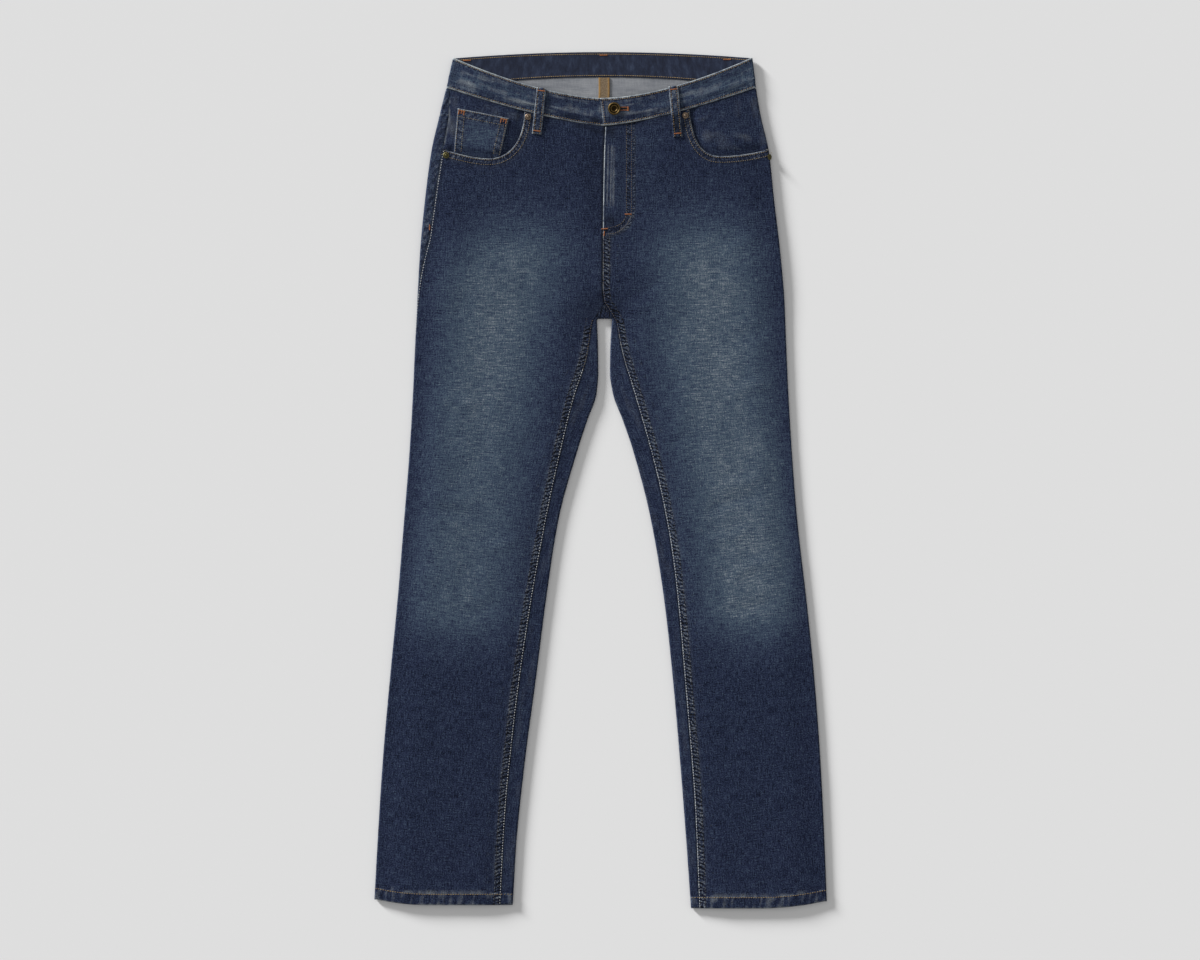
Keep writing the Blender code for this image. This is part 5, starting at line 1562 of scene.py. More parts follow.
def make_back_pocket(side):
    """A patch pocket under the back, flat on the ground."""
    corners = pocket_corners(side)
    closed = np.vstack([corners, corners[:1]])
    outline = resample(closed, 2.0)[:-1]
    places, faces = fill(outline, coarse=7.0)

    def dress(side, x, y):
        edge, run, _ = off_line(closed[:5], x, y)
        top, top_run, _ = off_line(closed[4:6], x, y)
        more, tone = sewn(edge, run, 9.0, 131)
        more_top, tone_top = sewn(top, top_run, 16.0, 132)
        rise = np.minimum(0.5 * (more + more_top) - 0.30, 0.0) - 0.08 * (1 + noise(x / 18, y / 18, 133))
        rise += round_off(np.minimum(edge, top), 0.8, 0.3)
        fade = 0.15 + 0.35 * bump((x - corners[2][0]) / 45) * bump((y - 385) / 40)
        return np.maximum(rise, -0.45), tone + tone_top, fade

    wall = Wall()
    x, y = places.T
    rise, tone, fade = dress(side, x, y)
    outer = stacked(x, y, -rise)
    inner = stacked(x, y, np.full(len(x), PATCH_CLOTH))
    wall.patch(outer, inner, np.tile((0.0, 0.0, -1.0), (len(x), 1)), faces, grain(side, x, y), tone, fade)
    return wall.make(f"back_pocket_{side}_denim")


def make_seat_tape():
    """The strip that covers the seat seam inside."""
    off, ys = strip_places(TAPE_OFFS, np.linspace(TAPE_TOP, TAPE_LOW, 60))
    edge = TAPE_WIDE / 2 - np.abs(off)
    rise = 0.22 * bump((edge - 1.2) / 0.9) + 0.09 * noise(ys / 5, off / 4, 141) + round_off(edge, 0.8, 0.3)
    z = lift(ys) + CLOTH + REST_GAP + PATCH_CLOTH
    x = SEAT_X - 0.8 + off + 0.35 * noise(ys / 16, 0, 142)
    outer = stacked(x, ys, z + rise)
    inner = stacked(x, ys, z - PATCH_CLOTH)
    tone = 0.5 * noise(ys / 4, off / 3, 143)
    both = {"outside": "tape", "inside": "tape"}
    fade = bump((edge - 1.2) / 1.0)
    return make_strip("seat_seam_tape_cotton", outer, inner, 1.0, (off, ys), tone, fade, **both)


# Stitches


def wire(tree, kind, inputs, output=0, **settings):
    """Adds a node, links or sets its inputs and gives one of its outputs."""
    node = tree.nodes.new(kind)
    for key, value in settings.items():
        setattr(node, key, value)
    for key, value in inputs.items():
        if isinstance(value, bpy.types.NodeSocket):
            tree.links.new(value, node.inputs[key])
        else:
            node.inputs[key].default_value = value
    return node.outputs[output]


def stitch_tree():
    """Lays small threads end to end along lines."""
    tree = bpy.data.node_groups.new("stitches", "GeometryNodeTree")
    kinds = {"Geometry": "Geometry", "Seed": "Int", "Thread": "Material"}
    for name in ("Geometry", "Pitch", "Length", "Width", "Height", "Turn", "Seed", "Thread"):
        kind = "NodeSocket" + kinds.get(name, "Float")
        tree.interface.new_socket(name, in_out="INPUT", socket_type=kind)
    tree.interface.new_socket("Geometry", in_out="OUTPUT", socket_type="NodeSocketGeometry")
    given, result = tree.nodes.new("NodeGroupInput").outputs, tree.nodes.new("NodeGroupOutput")
    curve = wire(tree, "GeometryNodeMeshToCurve", {"Mesh": given["Geometry"]})
    even = wire(tree, "GeometryNodeResampleCurve", {"Curve": curve, "Length": given["Pitch"]}, mode="LENGTH")
    ball = wire(tree, "GeometryNodeMeshUVSphere", {"Segments": 6, "Rings": 5, "Radius": 0.5})
    sizes = {"X": given["Length"], "Y": given["Width"], "Z": given["Height"]}
    size = wire(tree, "ShaderNodeCombineXYZ", sizes)
    turn = wire(tree, "ShaderNodeCombineXYZ", {"Z": given["Turn"]})
    shape = wire(tree, "GeometryNodeTransform", {"Geometry": ball, "Scale": size})
    spun = wire(tree, "GeometryNodeTransform", {"Geometry": shape, "Rotation": turn})
    along = wire(tree, "GeometryNodeInputTangent", {})
    aim = wire(tree, "FunctionNodeAlignRotationToVector", {"Vector": along}, axis="X")
    spread = {"Min": (0.86, 0.88, 0.85), "Max": (1.08, 1.12, 1.12), "Seed": given["Seed"]}
    vary = wire(tree, "FunctionNodeRandomValue", spread, data_type="FLOAT_VECTOR")
    laid = {"Points": even, "Instance": spun, "Rotation": aim, "Scale": vary}
    place = wire(tree, "GeometryNodeInstanceOnPoints", laid)
    real = wire(tree, "GeometryNodeRealizeInstances", {"Geometry": place})
    smooth = wire(tree, "GeometryNodeSetShadeSmooth", {"Geometry": real})
    paint = wire(tree, "GeometryNodeSetMaterial", {"Geometry": smooth, "Material": given["Thread"]})
    tree.links.new(paint, result.inputs["Geometry"])
    return tree


# Each kind of stitch: thread, pitch, length, width, height, how far it is turned from its line, and seed
SQUARE = math.pi / 2
STITCHES = {
    "inseam_edge_stitches": ("worn", 3.7, 1.9, 0.8, 0.45, 0.0, 3),
    "crotch_seam_stitches": ("gold dark", 3.4, 2.0, 0.85, 0.45, 0.0, 14),
    "inseam_row_stitches": ("gold sunk", 3.2, 1.9, 0.6, 0.36, 0.0, 4),
    "hem_stitches": ("gold bright", 3.3, 2.5, 0.85, 0.5, 0.0, 5),
    "pocket_mouth_stitches": ("gold dull", 3.1, 2.1, 0.75, 0.45, 0.0, 6),
    "coin_pocket_stitches": ("gold dull", 3.1, 2.1, 0.7, 0.4, 0.0, 7),
    "fly_stitches": ("gold dark", 3.0, 2.0, 0.85, 0.45, 0.0, 8),
    "band_stitches": ("gold bright", 3.1, 2.1, 0.85, 0.45, 0.0, 9),
    "band_inside_stitches": ("gold bright", 3.0, 2.8, 1.0, 0.5, 0.0, 10),
    "belt_loop_stitches": ("gold bright", 3.1, 2.1, 0.75, 0.4, 0.0, 11),
    "underside_stitches": ("gold dull", 3.2, 2.4, 0.5, 0.34, 0.0, 12),
    "bartacks": ("orange", 0.5, 2.0, 0.6, 0.5, SQUARE, 13),
    "buttonhole_thread": ("orange", 0.6, 1.6, 0.6, 0.5, SQUARE, 14),
    "buttonhole_bar": ("orange", 0.5, 2.6, 0.7, 0.6, SQUARE, 15),
}


def lay_stitches(name, lines):
    """One mesh of stitches along lines of points in millimetres."""
    thread, *sizes, turn, seed = STITCHES[name]
    corners, edges = [], []
    for line in lines:
        start = len(corners)
        corners += [tuple(c * MM for c in p) for p in line]
        edges += [(k, k + 1) for k in range(start, len(corners) - 1)]
    guide = place_in_scene(name + "_lines", new_mesh(name + "_lines", corners, [], edges))
    tree = bpy.data.node_groups.get("stitches") or stitch_tree()
    nodes = guide.modifiers.new("stitches", "NODES")
    nodes.node_group = tree
    values = {key: size * MM for key, size in zip(("Pitch", "Length", "Width", "Height"), sizes)}
    values.update({"Turn": turn, "Seed": seed, "Thread": finish(thread)})
    for item in tree.interface.items_tree:
        if item.in_out == "INPUT" and item.name in values:
            nodes[item.identifier] = values[item.name]
    ready = guide.evaluated_get(bpy.context.evaluated_depsgraph_get())
    finished = bpy.data.meshes.new_from_object(ready)
    finished.name = name
    bpy.data.objects.remove(guide)
    settle(place_in_scene(name, finished), [])


def raised(points, z):
    """Points of a flat line, lifted to a height."""
    return np.column_stack([points, np.broadcast_to(z, len(points))])


def on_skin(skin, side, points, above=0.1, step=1.6):
    """A line on a surface, lifted a little."""
    points = resample(points, step)
    return raised(points, skin(side, *points.T) + above)


def offset(points, off):
    """The line moved to its left by off."""
    points = np.asarray(points, float)
    along = np.gradient(points, axis=0)
    along /= np.linalg.norm(along, axis=1)[:, None]
    return points + stacked(-along[:, 1], along[:, 0]) * off


def inseam_rows(side, offs, low, high):
    """Lines beside the front's inner seam."""
    out = SIDES[side]
    ys = spaced(low, high, 4.0)
    line = stacked(inner_line(side, ys), ys)
    return [offset(line, -out * off) for off in offs]


def hem_rows(side):
    """The hem's rows of stitches on the front, and on the part of the back that shows."""
    out = SIDES[side]
    start = float(INSEAM[side](HEMS[side][0])) + out * 1.0
    end = float(flat_x(side, HEMS[side][0] + HEMS[side][1]))
    xs = spaced(start, end, 3.0)
    front = stacked(xs, hem_line(side, xs) + HEM_HIGH - 0.6)
    inner = float(INNER[side](HEMS[side][0])) + out * FOLD_OUT
    xs = spaced(inner, start - out * 2.5, 3.0)
    back = stacked(xs, hem_line(side, xs) + HEM_HIGH - 0.6)
    return front, back


INSEAM_WORN = 150.0


def leg_stitches():
    """Rows along the inseams, the centre seam and the hems."""
    pale, dark, sunk, hems = [], [], [], []
    for side in SIDES:
        low = HEMS[side][0] + 3.0
        top = 216.0 if side == "right" else FLY_ROWS["outer"][-1][1] - 1.0
        near, far = inseam_rows(side, (1.1, FELL_WIDE - 1.0), low, top)
        line = on_skin(front_skin, side, near, 0.12)
        pale.append(line[line[:, 1] < INSEAM_WORN])
        dark.append(line[line[:, 1] >= INSEAM_WORN])
        sunk.append(on_skin(front_skin, side, far, 0.06))
        front, back = hem_rows(side)
        hems.append(on_skin(front_skin, side, front, 0.12))
        flat = resample(back, 1.6)
        z = lift(flat[:, 1]) + 2 * CLOTH + room(flat[:, 0], flat[:, 1]) + HEM_PROUD + 0.1
        hems.append(raised(flat, z))
    ys = spaced(200.0, 446.0, 4.0)
    cloth = OUTSEAM["right"](ys) + 1.4
    place, way, _ = outer_turn("right", ys, cloth)
    pale.append(place + way * (CLOTH / 2 + 0.12))
    lay_stitches("inseam_edge_stitches", pale)
    lay_stitches("crotch_seam_stitches", dark)
    lay_stitches("inseam_row_stitches", sunk)
    lay_stitches("hem_stitches", hems)


def pocket_stitches():
    """Rows along the pocket mouths and the coin pocket."""
    rows = []
    for side in SIDES:
        mouth = mouth_line(side, 2.0)
        for off in (2.0, MOUTH_WIDE - 1.2):
            line = offset(mouth, SIDES[side] * off)
            line = line[line[:, 1] < band_y(line[:, 0]) - 1.5]
            rows.append(on_skin(front_skin, side, line, 0.1))
    corners = coin_edges()
    coin = []
    for k, far in enumerate((9.6, 10.6, 9.6)):
        edge = resample(corners[k : k + 2], 2.0)
        coin += [on_skin(coin_top_skin, "right", offset(edge, -off)[1:-1], 0.1) for off in (1.6, far)]
    lay_stitches("pocket_mouth_stitches", rows)
    lay_stitches("coin_pocket_stitches", coin)


def coin_top_skin(side, x, y):
    return coin_top(side, x, y) + dress_coin(side, x, y)[0]


def fly_stitches():
    rows = []
    for key in ("outer", "inner"):
        line = rounded(FLY_ROWS[key], 2.0)
        line = line[line[:, 1] < band_y(line[:, 0]) - 2.0]
        rows.append(on_skin(front_skin, "left", line, 0.12))
    lay_stitches("fly_stitches", rows)


def band_lines(back, offs):
    """Lines along the band, below its top where off is above 0 and above its low edge otherwise."""
    lines = []
    for off in offs:
        high = off > 0
        for side in SIDES:
            shares = np.linspace(0.0, 0.985, 90)
            xs, ys = band_edge(side, shares, high, back)
            if side == "left" and not back:
                xs = xs + BAND_ROW_SHIFT * (1 - ease(shares / BAND_END_SHARE))
            lines.append((side, stacked(xs, ys - off)))
    return lines


def band_finished(side, x, y):
    """Height of the band's outside on the front, with its broad ridge."""
    low, high = band_y(x), band_y(x, high=True)
    v = (y - low) / (high - low)
    return band_skin(side, x, y) + 0.30 * bump((v - 0.34) / 0.09) - 0.1


def band_stitches():
    """Rows along both edges of the waistband, outside and inside, and across its left end."""
    front = []
    for side, line in band_lines(False, (2.8, -2.6)):
        if side == "right":
            line = line[line[:, 0] < -1.5]
        front.append(on_skin(band_finished, side, line, 0.12))
    end = np.array([(6.3, 483.5), (2.6, 516.0)])
    front.append(on_skin(band_finished, "left", end, 0.12))
    inside = []
    for side, line in band_lines(True, (2.8, -2.2)):
        flat = resample(line, 1.6)
        z = lift(flat[:, 1]) + BAND_CLOTH + 0.02
        inside.append(raised(flat, z))
    lay_stitches("band_stitches", front)
    lay_stitches("band_inside_stitches", inside)


def loop_stitches():
    rows = []
    for name in FRONT_LOOPS:
        _, middle, across, z, _ = loop_frame(name)
        for off in (-3.9, 3.9):
            spots = middle + across * off
            rows.append(raised(spots, z + LOOP_CLOTH + 0.12)[1:-1])
    lay_stitches("belt_loop_stitches", rows)


def hidden_stitches():
    """Rows on the underside: yoke and seat seams, back pockets and hems."""
    rows = []
    for side in SIDES:
        out = SIDES[side]
        xs = spaced(SEAT_X + out * 2, float(ground_x(side, 495)), 4.0)
        for off in (2.0, 8.0):
            line = stacked(xs, yoke_seam_y(side, xs) - off)
            rows.append(under_line(line, 0.0))
    ys = spaced(CROTCH_Y + 8, float(band_y(SEAT_X, back=True)) - 3, 4.0)
    for off in (-3.0, -9.0):
        rows.append(under_line(stacked(SEAT_X + off, ys), 0.0))
    for side, out in SIDES.items():
        corners = pocket_corners(side)
        closed = resample(corners, 3.0)
        for off in (2.0, 8.0):
            inner = offset(closed, out * off)
            rows.append(raised(inner[2:-2], 0.32))
        top = resample(np.array([corners[4], corners[0]]), 3.0)
        for off in (2.0, 14.0):
            line = offset(top, out * off)
            rows.append(raised(line[1:-1], 0.32))
        low = HEMS[side][0]
        xs = spaced(float(ground_x(side, low)), float(INNER[side](low)) + out * 3, 4.0)
        rows.append(under_line(stacked(xs, hem_line(side, xs) + HEM_HIGH - 0.6), 0.12))
    lay_stitches("underside_stitches", rows)


def under_line(points, up):
    points = resample(points, 3.0)
    return raised(points, lift(points[:, 1]) + 0.16 + up)


def bar(middle, way, long, height):
    """A short straight line."""
    way = np.array(way, float)
    way /= np.linalg.norm(way)
    ends = [np.array(middle) + way * k * long / 2 for k in (-1, 1)]
    points = resample(ends, 1.0)
    return raised(points, height)


# Bars: shares of a front loop, places, lengths and ways by the fly, y on the outseam, x inside the band
LOOP_BARS = (0.075, 0.925)
FLY_BARS = ((37.6, 360.8, 8.6, (1, 0)), (5.6, 341.0, 8.4, (1, 0.05)), (5.0, 334.5, 6.0, (0.15, 1)))
OUTSEAM_BAR_Y = 343.0
BAND_BARS = (-181.5, 4.0, 172.0)


def bartack_lines():
    """The dense bars that hold loops, pockets, fly and outseam."""
    bars = []
    for name in FRONT_LOOPS:
        _, middle, across, z, shares = loop_frame(name)
        for share in LOOP_BARS:
            k = round(share * (len(shares) - 1))
            bars.append(bar(middle[k], across, 9.5, z[k] + LOOP_CLOTH + 0.22))
    corners = coin_edges()
    along = (corners[2] - corners[1]) / np.linalg.norm(corners[2] - corners[1])
    down = np.array((along[1], -along[0]))
    for corner, inward in ((corners[1], 1.0), (corners[2], -1.0)):
        first = corner + along * inward * 2.6 + down * 2.6
        last = first + along * inward * 7.0
        for middle, way, long in (
            ((first + last) / 2, along, 8.6),
            (first + down * 2.6, down, 5.2),
            (last + down * 2.6, down, 5.2),
            ((first + last) / 2 + down * 1.9, down, 3.4),
        ):
            bars.append(bar(middle, way, long, height_at(coin_top_skin, "right", *middle) + 0.2))
    for x, y, long, way in FLY_BARS:
        bars.append(bar((x, y), way, long, height_at(front_skin, "left", x, y) + 0.2))
    cloth = np.array([float(OUTSEAM["right"](OUTSEAM_BAR_Y)) - 2.0])
    place, way, _ = outer_turn("right", np.array([OUTSEAM_BAR_Y]), cloth)
    bars.append(bar(place[0, :2], (0.05, 1), 7.0, float(place[0, 2]) + CLOTH / 2 + 0.3))
    for x in BAND_BARS:
        y = float(band_y(x, high=True, back=True)) - 4.2
        bars.append(bar((x, y), (1, 0.01), 10.0, float(lift(y)) + BAND_CLOTH + 0.15))
    return bars


def buttonhole_bars():
    """Threads across the edge of the buttonhole, and the bar at its end."""
    outline = keyhole(0.6)
    outline = resample(np.vstack([outline, outline[:1]]), 1.0)
    z = band_finished("left", outline[:, 0], outline[:, 1]) + 0.32
    end = (BUTTON_AT[0] + SLOT_LONG - EYE_R - 0.2, BUTTON_AT[1])
    last = bar(end, (0, 1), 5.4, height_at(band_finished, "left", *end) + 0.5)
    return [raised(outline, z)], [last]


# Metal


def height_at(skin, side, x, y):
    """Height of a surface at one place."""
    return float(skin(side, np.array([x]), np.array([y]))[0])


def ring_top(skin, side, at, radius, turn=2 * math.pi):
    """The highest place of a surface on a ring."""
    ring = [(at[0] + radius * math.cos(a), at[1] + radius * math.sin(a)) for a in np.linspace(0, turn, 9)]
    return max(height_at(skin, side, x, y) for x, y in ring)


def lathe(name, at, profile, steps, material, sunk, tilt=0.0):
    """A shape turned round an upright line. The profile runs from the axis out and back to it.

    sunk holds radii and how dark the metal is at them.
    """
    corners, faces = [], []
    rings = []
    for radius, height in profile:
        if radius < 0.001:
            rings.append([len(corners)])
            corners.append((0.0, 0.0, height))
            continue
        rings.append(list(range(len(corners), len(corners) + steps)))
        corners += [(radius * math.cos(a), radius * math.sin(a), height)
                    for a in (2 * math.pi * k / steps for k in range(steps))]
    for low, high in zip(rings, rings[1:]):
        for k in range(steps):
            a, b = low[k % len(low)], low[(k + 1) % len(low)]
            c, d = high[(k + 1) % len(high)], high[k % len(high)]
            faces.append(tuple(dict.fromkeys((a, b, c, d))))
    tip_cos, tip_sin = math.cos(tilt), math.sin(tilt)
    turned = [(x * tip_cos + z * tip_sin, y, z * tip_cos - x * tip_sin) for x, y, z in corners]
    points = [tuple((here + start) * MM for here, start in zip(corner, at)) for corner in turned]
    mesh = new_mesh(name, points, faces)
    mesh.materials.append(material)
    hollow = mesh.attributes.new("hollow", "FLOAT", "POINT")
    hollow.data.foreach_set("value", [float(np.interp(math.hypot(x, y), *sunk)) for x, y, z in corners])
    return add_object(name, mesh)


def rim_profile(parts, fine=5):
    """Joins rounded steps: each part is a radius, a height and how much its corner is rounded."""
    points = []
    for k, (radius, height, soft) in enumerate(parts):
        if soft == 0 or k in (0, len(parts) - 1):
            points.append((radius, height))
            continue
        here = np.array((radius, height))
        before = np.array(parts[k - 1][:2]) - here
        after = np.array(parts[k + 1][:2]) - here
        a = here + before / np.linalg.norm(before) * min(soft, np.linalg.norm(before) / 2)
        b = here + after / np.linalg.norm(after) * min(soft, np.linalg.norm(after) / 2)
        for t in np.linspace(0, 1, fine):
            points.append(tuple((1 - t) ** 2 * a + 2 * t * (1 - t) * here + t * t * b))
    return points


def make_button(brass):
    """A tack button: a rolled ring, a sunk cup and a stud whose hole is painted dark as shade, on its shank.
    """
    x, y = BUTTON_AT
    head = ring_top(band_skin, "left", BUTTON_AT, BUTTON_R) + 0.75
    foot = float(band_plain_z("right", x, y)) + BAND_CLOTH / 2 + REST_GAP - head
    steps = [(BUTTON_R - inset, height, soft) for inset, height, soft in BUTTON_STEPS]
    profile = rim_profile([(0.0, foot, 0), (SHANK_R, foot, 0.2), (SHANK_R, 0.0, 0.2), *steps, (0.0, 0.35, 0)])
    return lathe("tack_button", (x, y, head), profile, 56, brass, BUTTON_SUNK)


# Steps of the button's head: inwards from its rim, height and how much the corner is rounded
BUTTON_STEPS = (
    (0.5, 0.0, 0.2), (0.0, 0.5, 0.4), (0.1, 1.3, 0.6), (1.0, 2.0, 0.7), (2.1, 2.0, 0.6), (2.8, 1.1, 0.4),
    (3.3, 1.0, 0.2), (3.7, 1.5, 0.3), (4.9, 1.5, 0.3), (5.3, 0.8, 0.3), (6.5, 0.4, 0.3),
)

# How dark the metal is at each radius: patina in the hollows, and painted shade for the hole in the middle
BUTTON_SUNK = ((0, 3.0, 3.7, 4.6, 5.3, 5.9, 6.6, 7.6, 8.7), (0.9, 0.9, 0.05, 0.0, 0.65, 0.65, 0.15, 0.0, 0.3))
RIVET_SUNK = ((0, 1.2, 1.8, 2.4, 3.4, 4.4), (0.0, 0.1, 0.45, 0.2, 0.05, 0.3))
RIVETS = {
    "rivet_mouth_right": (-98.2, 493.0),
    "rivet_side_right": (-209.6, 440.8),
    "rivet_mouth_left": (115.2, 494.8),
}
FOLD_RIVET_Y = 438.8
FOLD_RIVET_TURN = math.radians(42)


def rivet_profile(tall=1.0):
    return rim_profile((
        (0.0, 0.0, 0), (RIVET_R - 0.1, 0.0, 0.1), (RIVET_R, 0.35 * tall, 0.2),
        (RIVET_R - 0.7, 0.85 * tall, 0.4), (2.4, tall, 0.3), (1.9, 0.85 * tall, 0.2),
        (1.5, 1.35 * tall, 0.3), (0.5, 1.6 * tall, 0.2),
        (0.0, 1.6 * tall, 0),
    ))


def make_rivet(name, material):
    if name in RIVETS:
        at = RIVETS[name]
        side = "right" if at[0] < SEAT_X else "left"
        top = ring_top(front_skin, side, at, RIVET_R, 6.28) + 0.05
        return lathe(f"{name}_metal", (*at, top), rivet_profile(), 32, material, RIVET_SUNK)
    place, way, _ = outer_turn("left", np.array([FOLD_RIVET_Y]), np.array([FOLD * FOLD_RIVET_TURN]))
    at = place[0] + way[0] * (CLOTH / 2 + REST_GAP)
    tilt = math.pi / 2 - FOLD_RIVET_TURN
    return lathe(f"{name}_metal", at, rivet_profile(0.55), 32, material, RIVET_SUNK, tilt)


# Materials


def shade(red, green, blue):
    """A colour as seen, 0 to 255, as light."""
    parts = (red / 255, green / 255, blue / 255)
    return tuple(c / 12.92 if c <= 10 / 255 else ((c + 0.055) / 1.055) ** 2.4 for c in parts)


class Finish:
    """A material and the nodes that lead to its shader."""

    def __init__(self, name, roughness, **sockets):
        self.material = bpy.data.materials.new(name)
        self.material.use_nodes = True
        self.tree = self.material.node_tree
        self.shader = self.tree.nodes["Principled BSDF"]
        self.shader.inputs["Roughness"].default_value = roughness
        for key, value in sockets.items():
            self.shader.inputs[key.replace("_", " ")].default_value = value

    def add(self, kind, inputs, output=0, **settings):
        return wire(self.tree, kind, inputs, output, **settings)

    def mark(self, name):
        return self.add("ShaderNodeAttribute", {}, "Fac", attribute_name=name)

    def cloth(self):
        return self.add("ShaderNodeUVMap", {}, uv_map="cloth")

    def here(self):
        return self.add("ShaderNodeTexCoord", {}, "Object")

    def stretch(self, vector, scale, turn=0.0):
        return self.add("ShaderNodeMapping", {"Vector": vector, "Scale": scale, "Rotation": (0, 0, turn)})

    def noise(self, vector, scale=1.0, detail=2.0, roughness=0.5):
        inputs = {"Vector": vector, "Scale": scale, "Detail": detail, "Roughness": roughness}
        return self.add("ShaderNodeTexNoise", inputs)

    def sum(self, *terms, start=0.0):
        """Adds products: each term is a socket and its factor."""
        total = start
        for socket, factor in terms:
            total = self.math("MULTIPLY_ADD", socket, factor, c=total)
        return total

    def math(self, operation, a, b=0.0, clamp=False, c=0.0):
        return self.add("ShaderNodeMath", {0: a, 1: b, 2: c}, operation=operation, use_clamp=clamp)

    def times(self, a, b, clamp=False):
        return self.math("MULTIPLY", a, b, clamp)

    def step(self, value, low, high):
        """0 at low and 1 at high, with a smooth step between."""
        inputs = {"Value": value, "From Min": low, "From Max": high}
        return self.add("ShaderNodeMapRange", inputs, interpolation_type="SMOOTHSTEP")

    def parts(self, name):
        """The three numbers of a vector mark."""
        vector = self.add("ShaderNodeAttribute", {}, "Vector", attribute_name=name)
        split = self.add("ShaderNodeSeparateXYZ", {"Vector": vector}).node
        return split.outputs[0], split.outputs[1], split.outputs[2]

    def join(self, x, y):
        return self.add("ShaderNodeCombineXYZ", {"X": x, "Y": y})

    def ramp(self, factor, stops):
        """Each stop is a place and a colour as seen."""
        node = self.tree.nodes.new("ShaderNodeValToRGB")
        self.tree.links.new(factor, node.inputs["Fac"])
        marks = node.color_ramp.elements
        while len(marks) < len(stops):
            marks.new(0.5)
        for mark, (place, colour) in zip(marks, stops):
            mark.position = place
            mark.color = (*shade(*colour), 1.0)
        return node.outputs["Color"]

    def mix(self, factor, a, b, way="MIX"):
        a, b = (c if isinstance(c, bpy.types.NodeSocket) else (*c, 1.0) for c in (a, b))
        return self.add("ShaderNodeMix", {0: factor, 6: a, 7: b}, 2, data_type="RGBA", blend_type=way)

    def done(self, colour, height, strength, distance):
        self.tree.links.new(colour, self.shader.inputs["Base Color"])
        if height is not None:
            inputs = {"Height": height, "Strength": strength, "Distance": distance}
            normal = self.add("ShaderNodeBump", inputs)
            self.tree.links.new(normal, self.shader.inputs["Normal"])
        return self.material


def denim(name, stops):
    """Twill with uneven yarns both ways. fade picks the wash, and tone the rubbed places and the dark ones,
    much of which is painted shade and shadow.
    """
    look = Finish(name, 0.95, Specular_IOR_Level=0.08)
    cloth = look.cloth()
    warp = look.noise(look.stretch(cloth, (700, 90, 1)), detail=0.0)
    weft = look.noise(look.stretch(cloth, (70, 640, 1)), detail=0.0)
    fleck = look.noise(cloth, 640, 0.0)
    salt = look.step(look.noise(cloth, 470, 0.0), 0.68, 0.80)
    cloud = look.noise(cloth, 34, 3.0, 0.6)
    fade, tone = look.mark("fade"), look.mark("tone")

    # Puckers of sewn bands: slanted dark marks of uneven strength, unworn dye in the folds together with
    # painted shade there
    across, along, strength = look.parts("seam")
    drift = look.noise(look.join(across, look.times(along, 95.0)), 1.0, 1.0)
    phase = look.sum((along, 2 * math.pi * 186), (across, 4.4), (drift, 12.0))
    wild = look.noise(look.join(look.times(across, 2.6), look.times(along, 330.0)), 1.0, 1.0)
    mark = look.step(look.sum((look.math("SINE", phase), 0.8), (wild, 3.8)), 1.6, 2.8)
    band = look.times(look.step(across, 0.03, 0.16), look.step(across, 1.10, 0.93))
    band = look.times(band, strength)
    bits = look.noise(cloth, 520, 0.0)
    pucker = look.times(band, look.sum((mark, -1.15), (wild, 0.60), (bits, 1.5), start=-0.90))

    # Puckers of the hem: broad, slanted and paler
    above, run, held = look.parts("hem")
    drift = look.noise(look.join(0.0, look.times(run, 42.0)), 1.0, 1.0)
    phase = look.sum((run, 2 * math.pi * 78), (above, -120.0), (drift, 16.0))
    rope = look.times(look.step(above, 0.0158, 0.0146), held)
    slubs = look.noise(look.join(look.times(run, 190.0), look.times(above, 110.0)), 1.0, 2.0)
    waves = look.sum((look.math("SINE", phase), 0.13), (slubs, 0.50), (cloud, 0.42), start=-0.50)
    rope = look.times(rope, waves)

    strong = look.times(weft, fade)
    grain = look.sum(
        (fleck, 1.7), (warp, 1.0), (weft, 0.55), (cloud, 0.30), (strong, 1.3), (fade, -0.65), (salt, 0.5)
    )
    grain = look.math("SUBTRACT", grain, 0.5 * (1.7 + 1.0 + 0.55 + 0.30) + 0.01)
    grain = look.times(grain, look.sum((fade, 0.04), start=0.66))
    level = look.math("ADD", fade, grain)
    level = look.math("MULTIPLY_ADD", level, 0.5, c=0.25)
    colour = look.ramp(level, stops)
    tint = look.noise(cloth, 420, 2.0, 0.7)
    tint = look.step(tint, 0.42, 0.66)
    colour = look.mix(look.times(tint, 0.4), colour, shade(136, 112, 152), "SOFT_LIGHT")
    # pale wear above 0, and below it dark marks that are mostly painted shade
    wear_and_shade = look.sum((tone, 1.0), (pucker, 1.0), (rope, 1.0))
    speckle = look.sum((fleck, 1.6), start=0.20)
    worn = look.times(look.times(wear_and_shade, speckle), 0.85, True)
    colour = look.mix(worn, colour, shade(146, 152, 154))
    # painted shade: the dark part of tone, puckers and rope turns the colour towards near black
    dark = look.times(wear_and_shade, -1.05, True)
    colour = look.mix(dark, colour, shade(12, 14, 20))
    height = look.sum((fleck, 0.3), (warp, 0.2), (weft, 0.2), (pucker, 0.5), (rope, 0.5))
    return look.done(colour, height, 0.5, 0.0005)


INDIGO = (
    (0.0, (10, 14, 26)),
    (0.15, (20, 27, 44)),
    (0.25, (31, 39, 60)),
    (0.35, (43, 52, 72)),
    (0.55, (61, 76, 91)),
    (0.675, (75, 89, 101)),
    (0.80, (94, 105, 114)),
    (1.0, (128, 137, 142)),
)
REVERSE = (
    (0.0, (68, 72, 80)),
    (0.4, (112, 115, 121)),
    (0.7, (138, 140, 144)),
    (1.0, (168, 169, 170)),
)


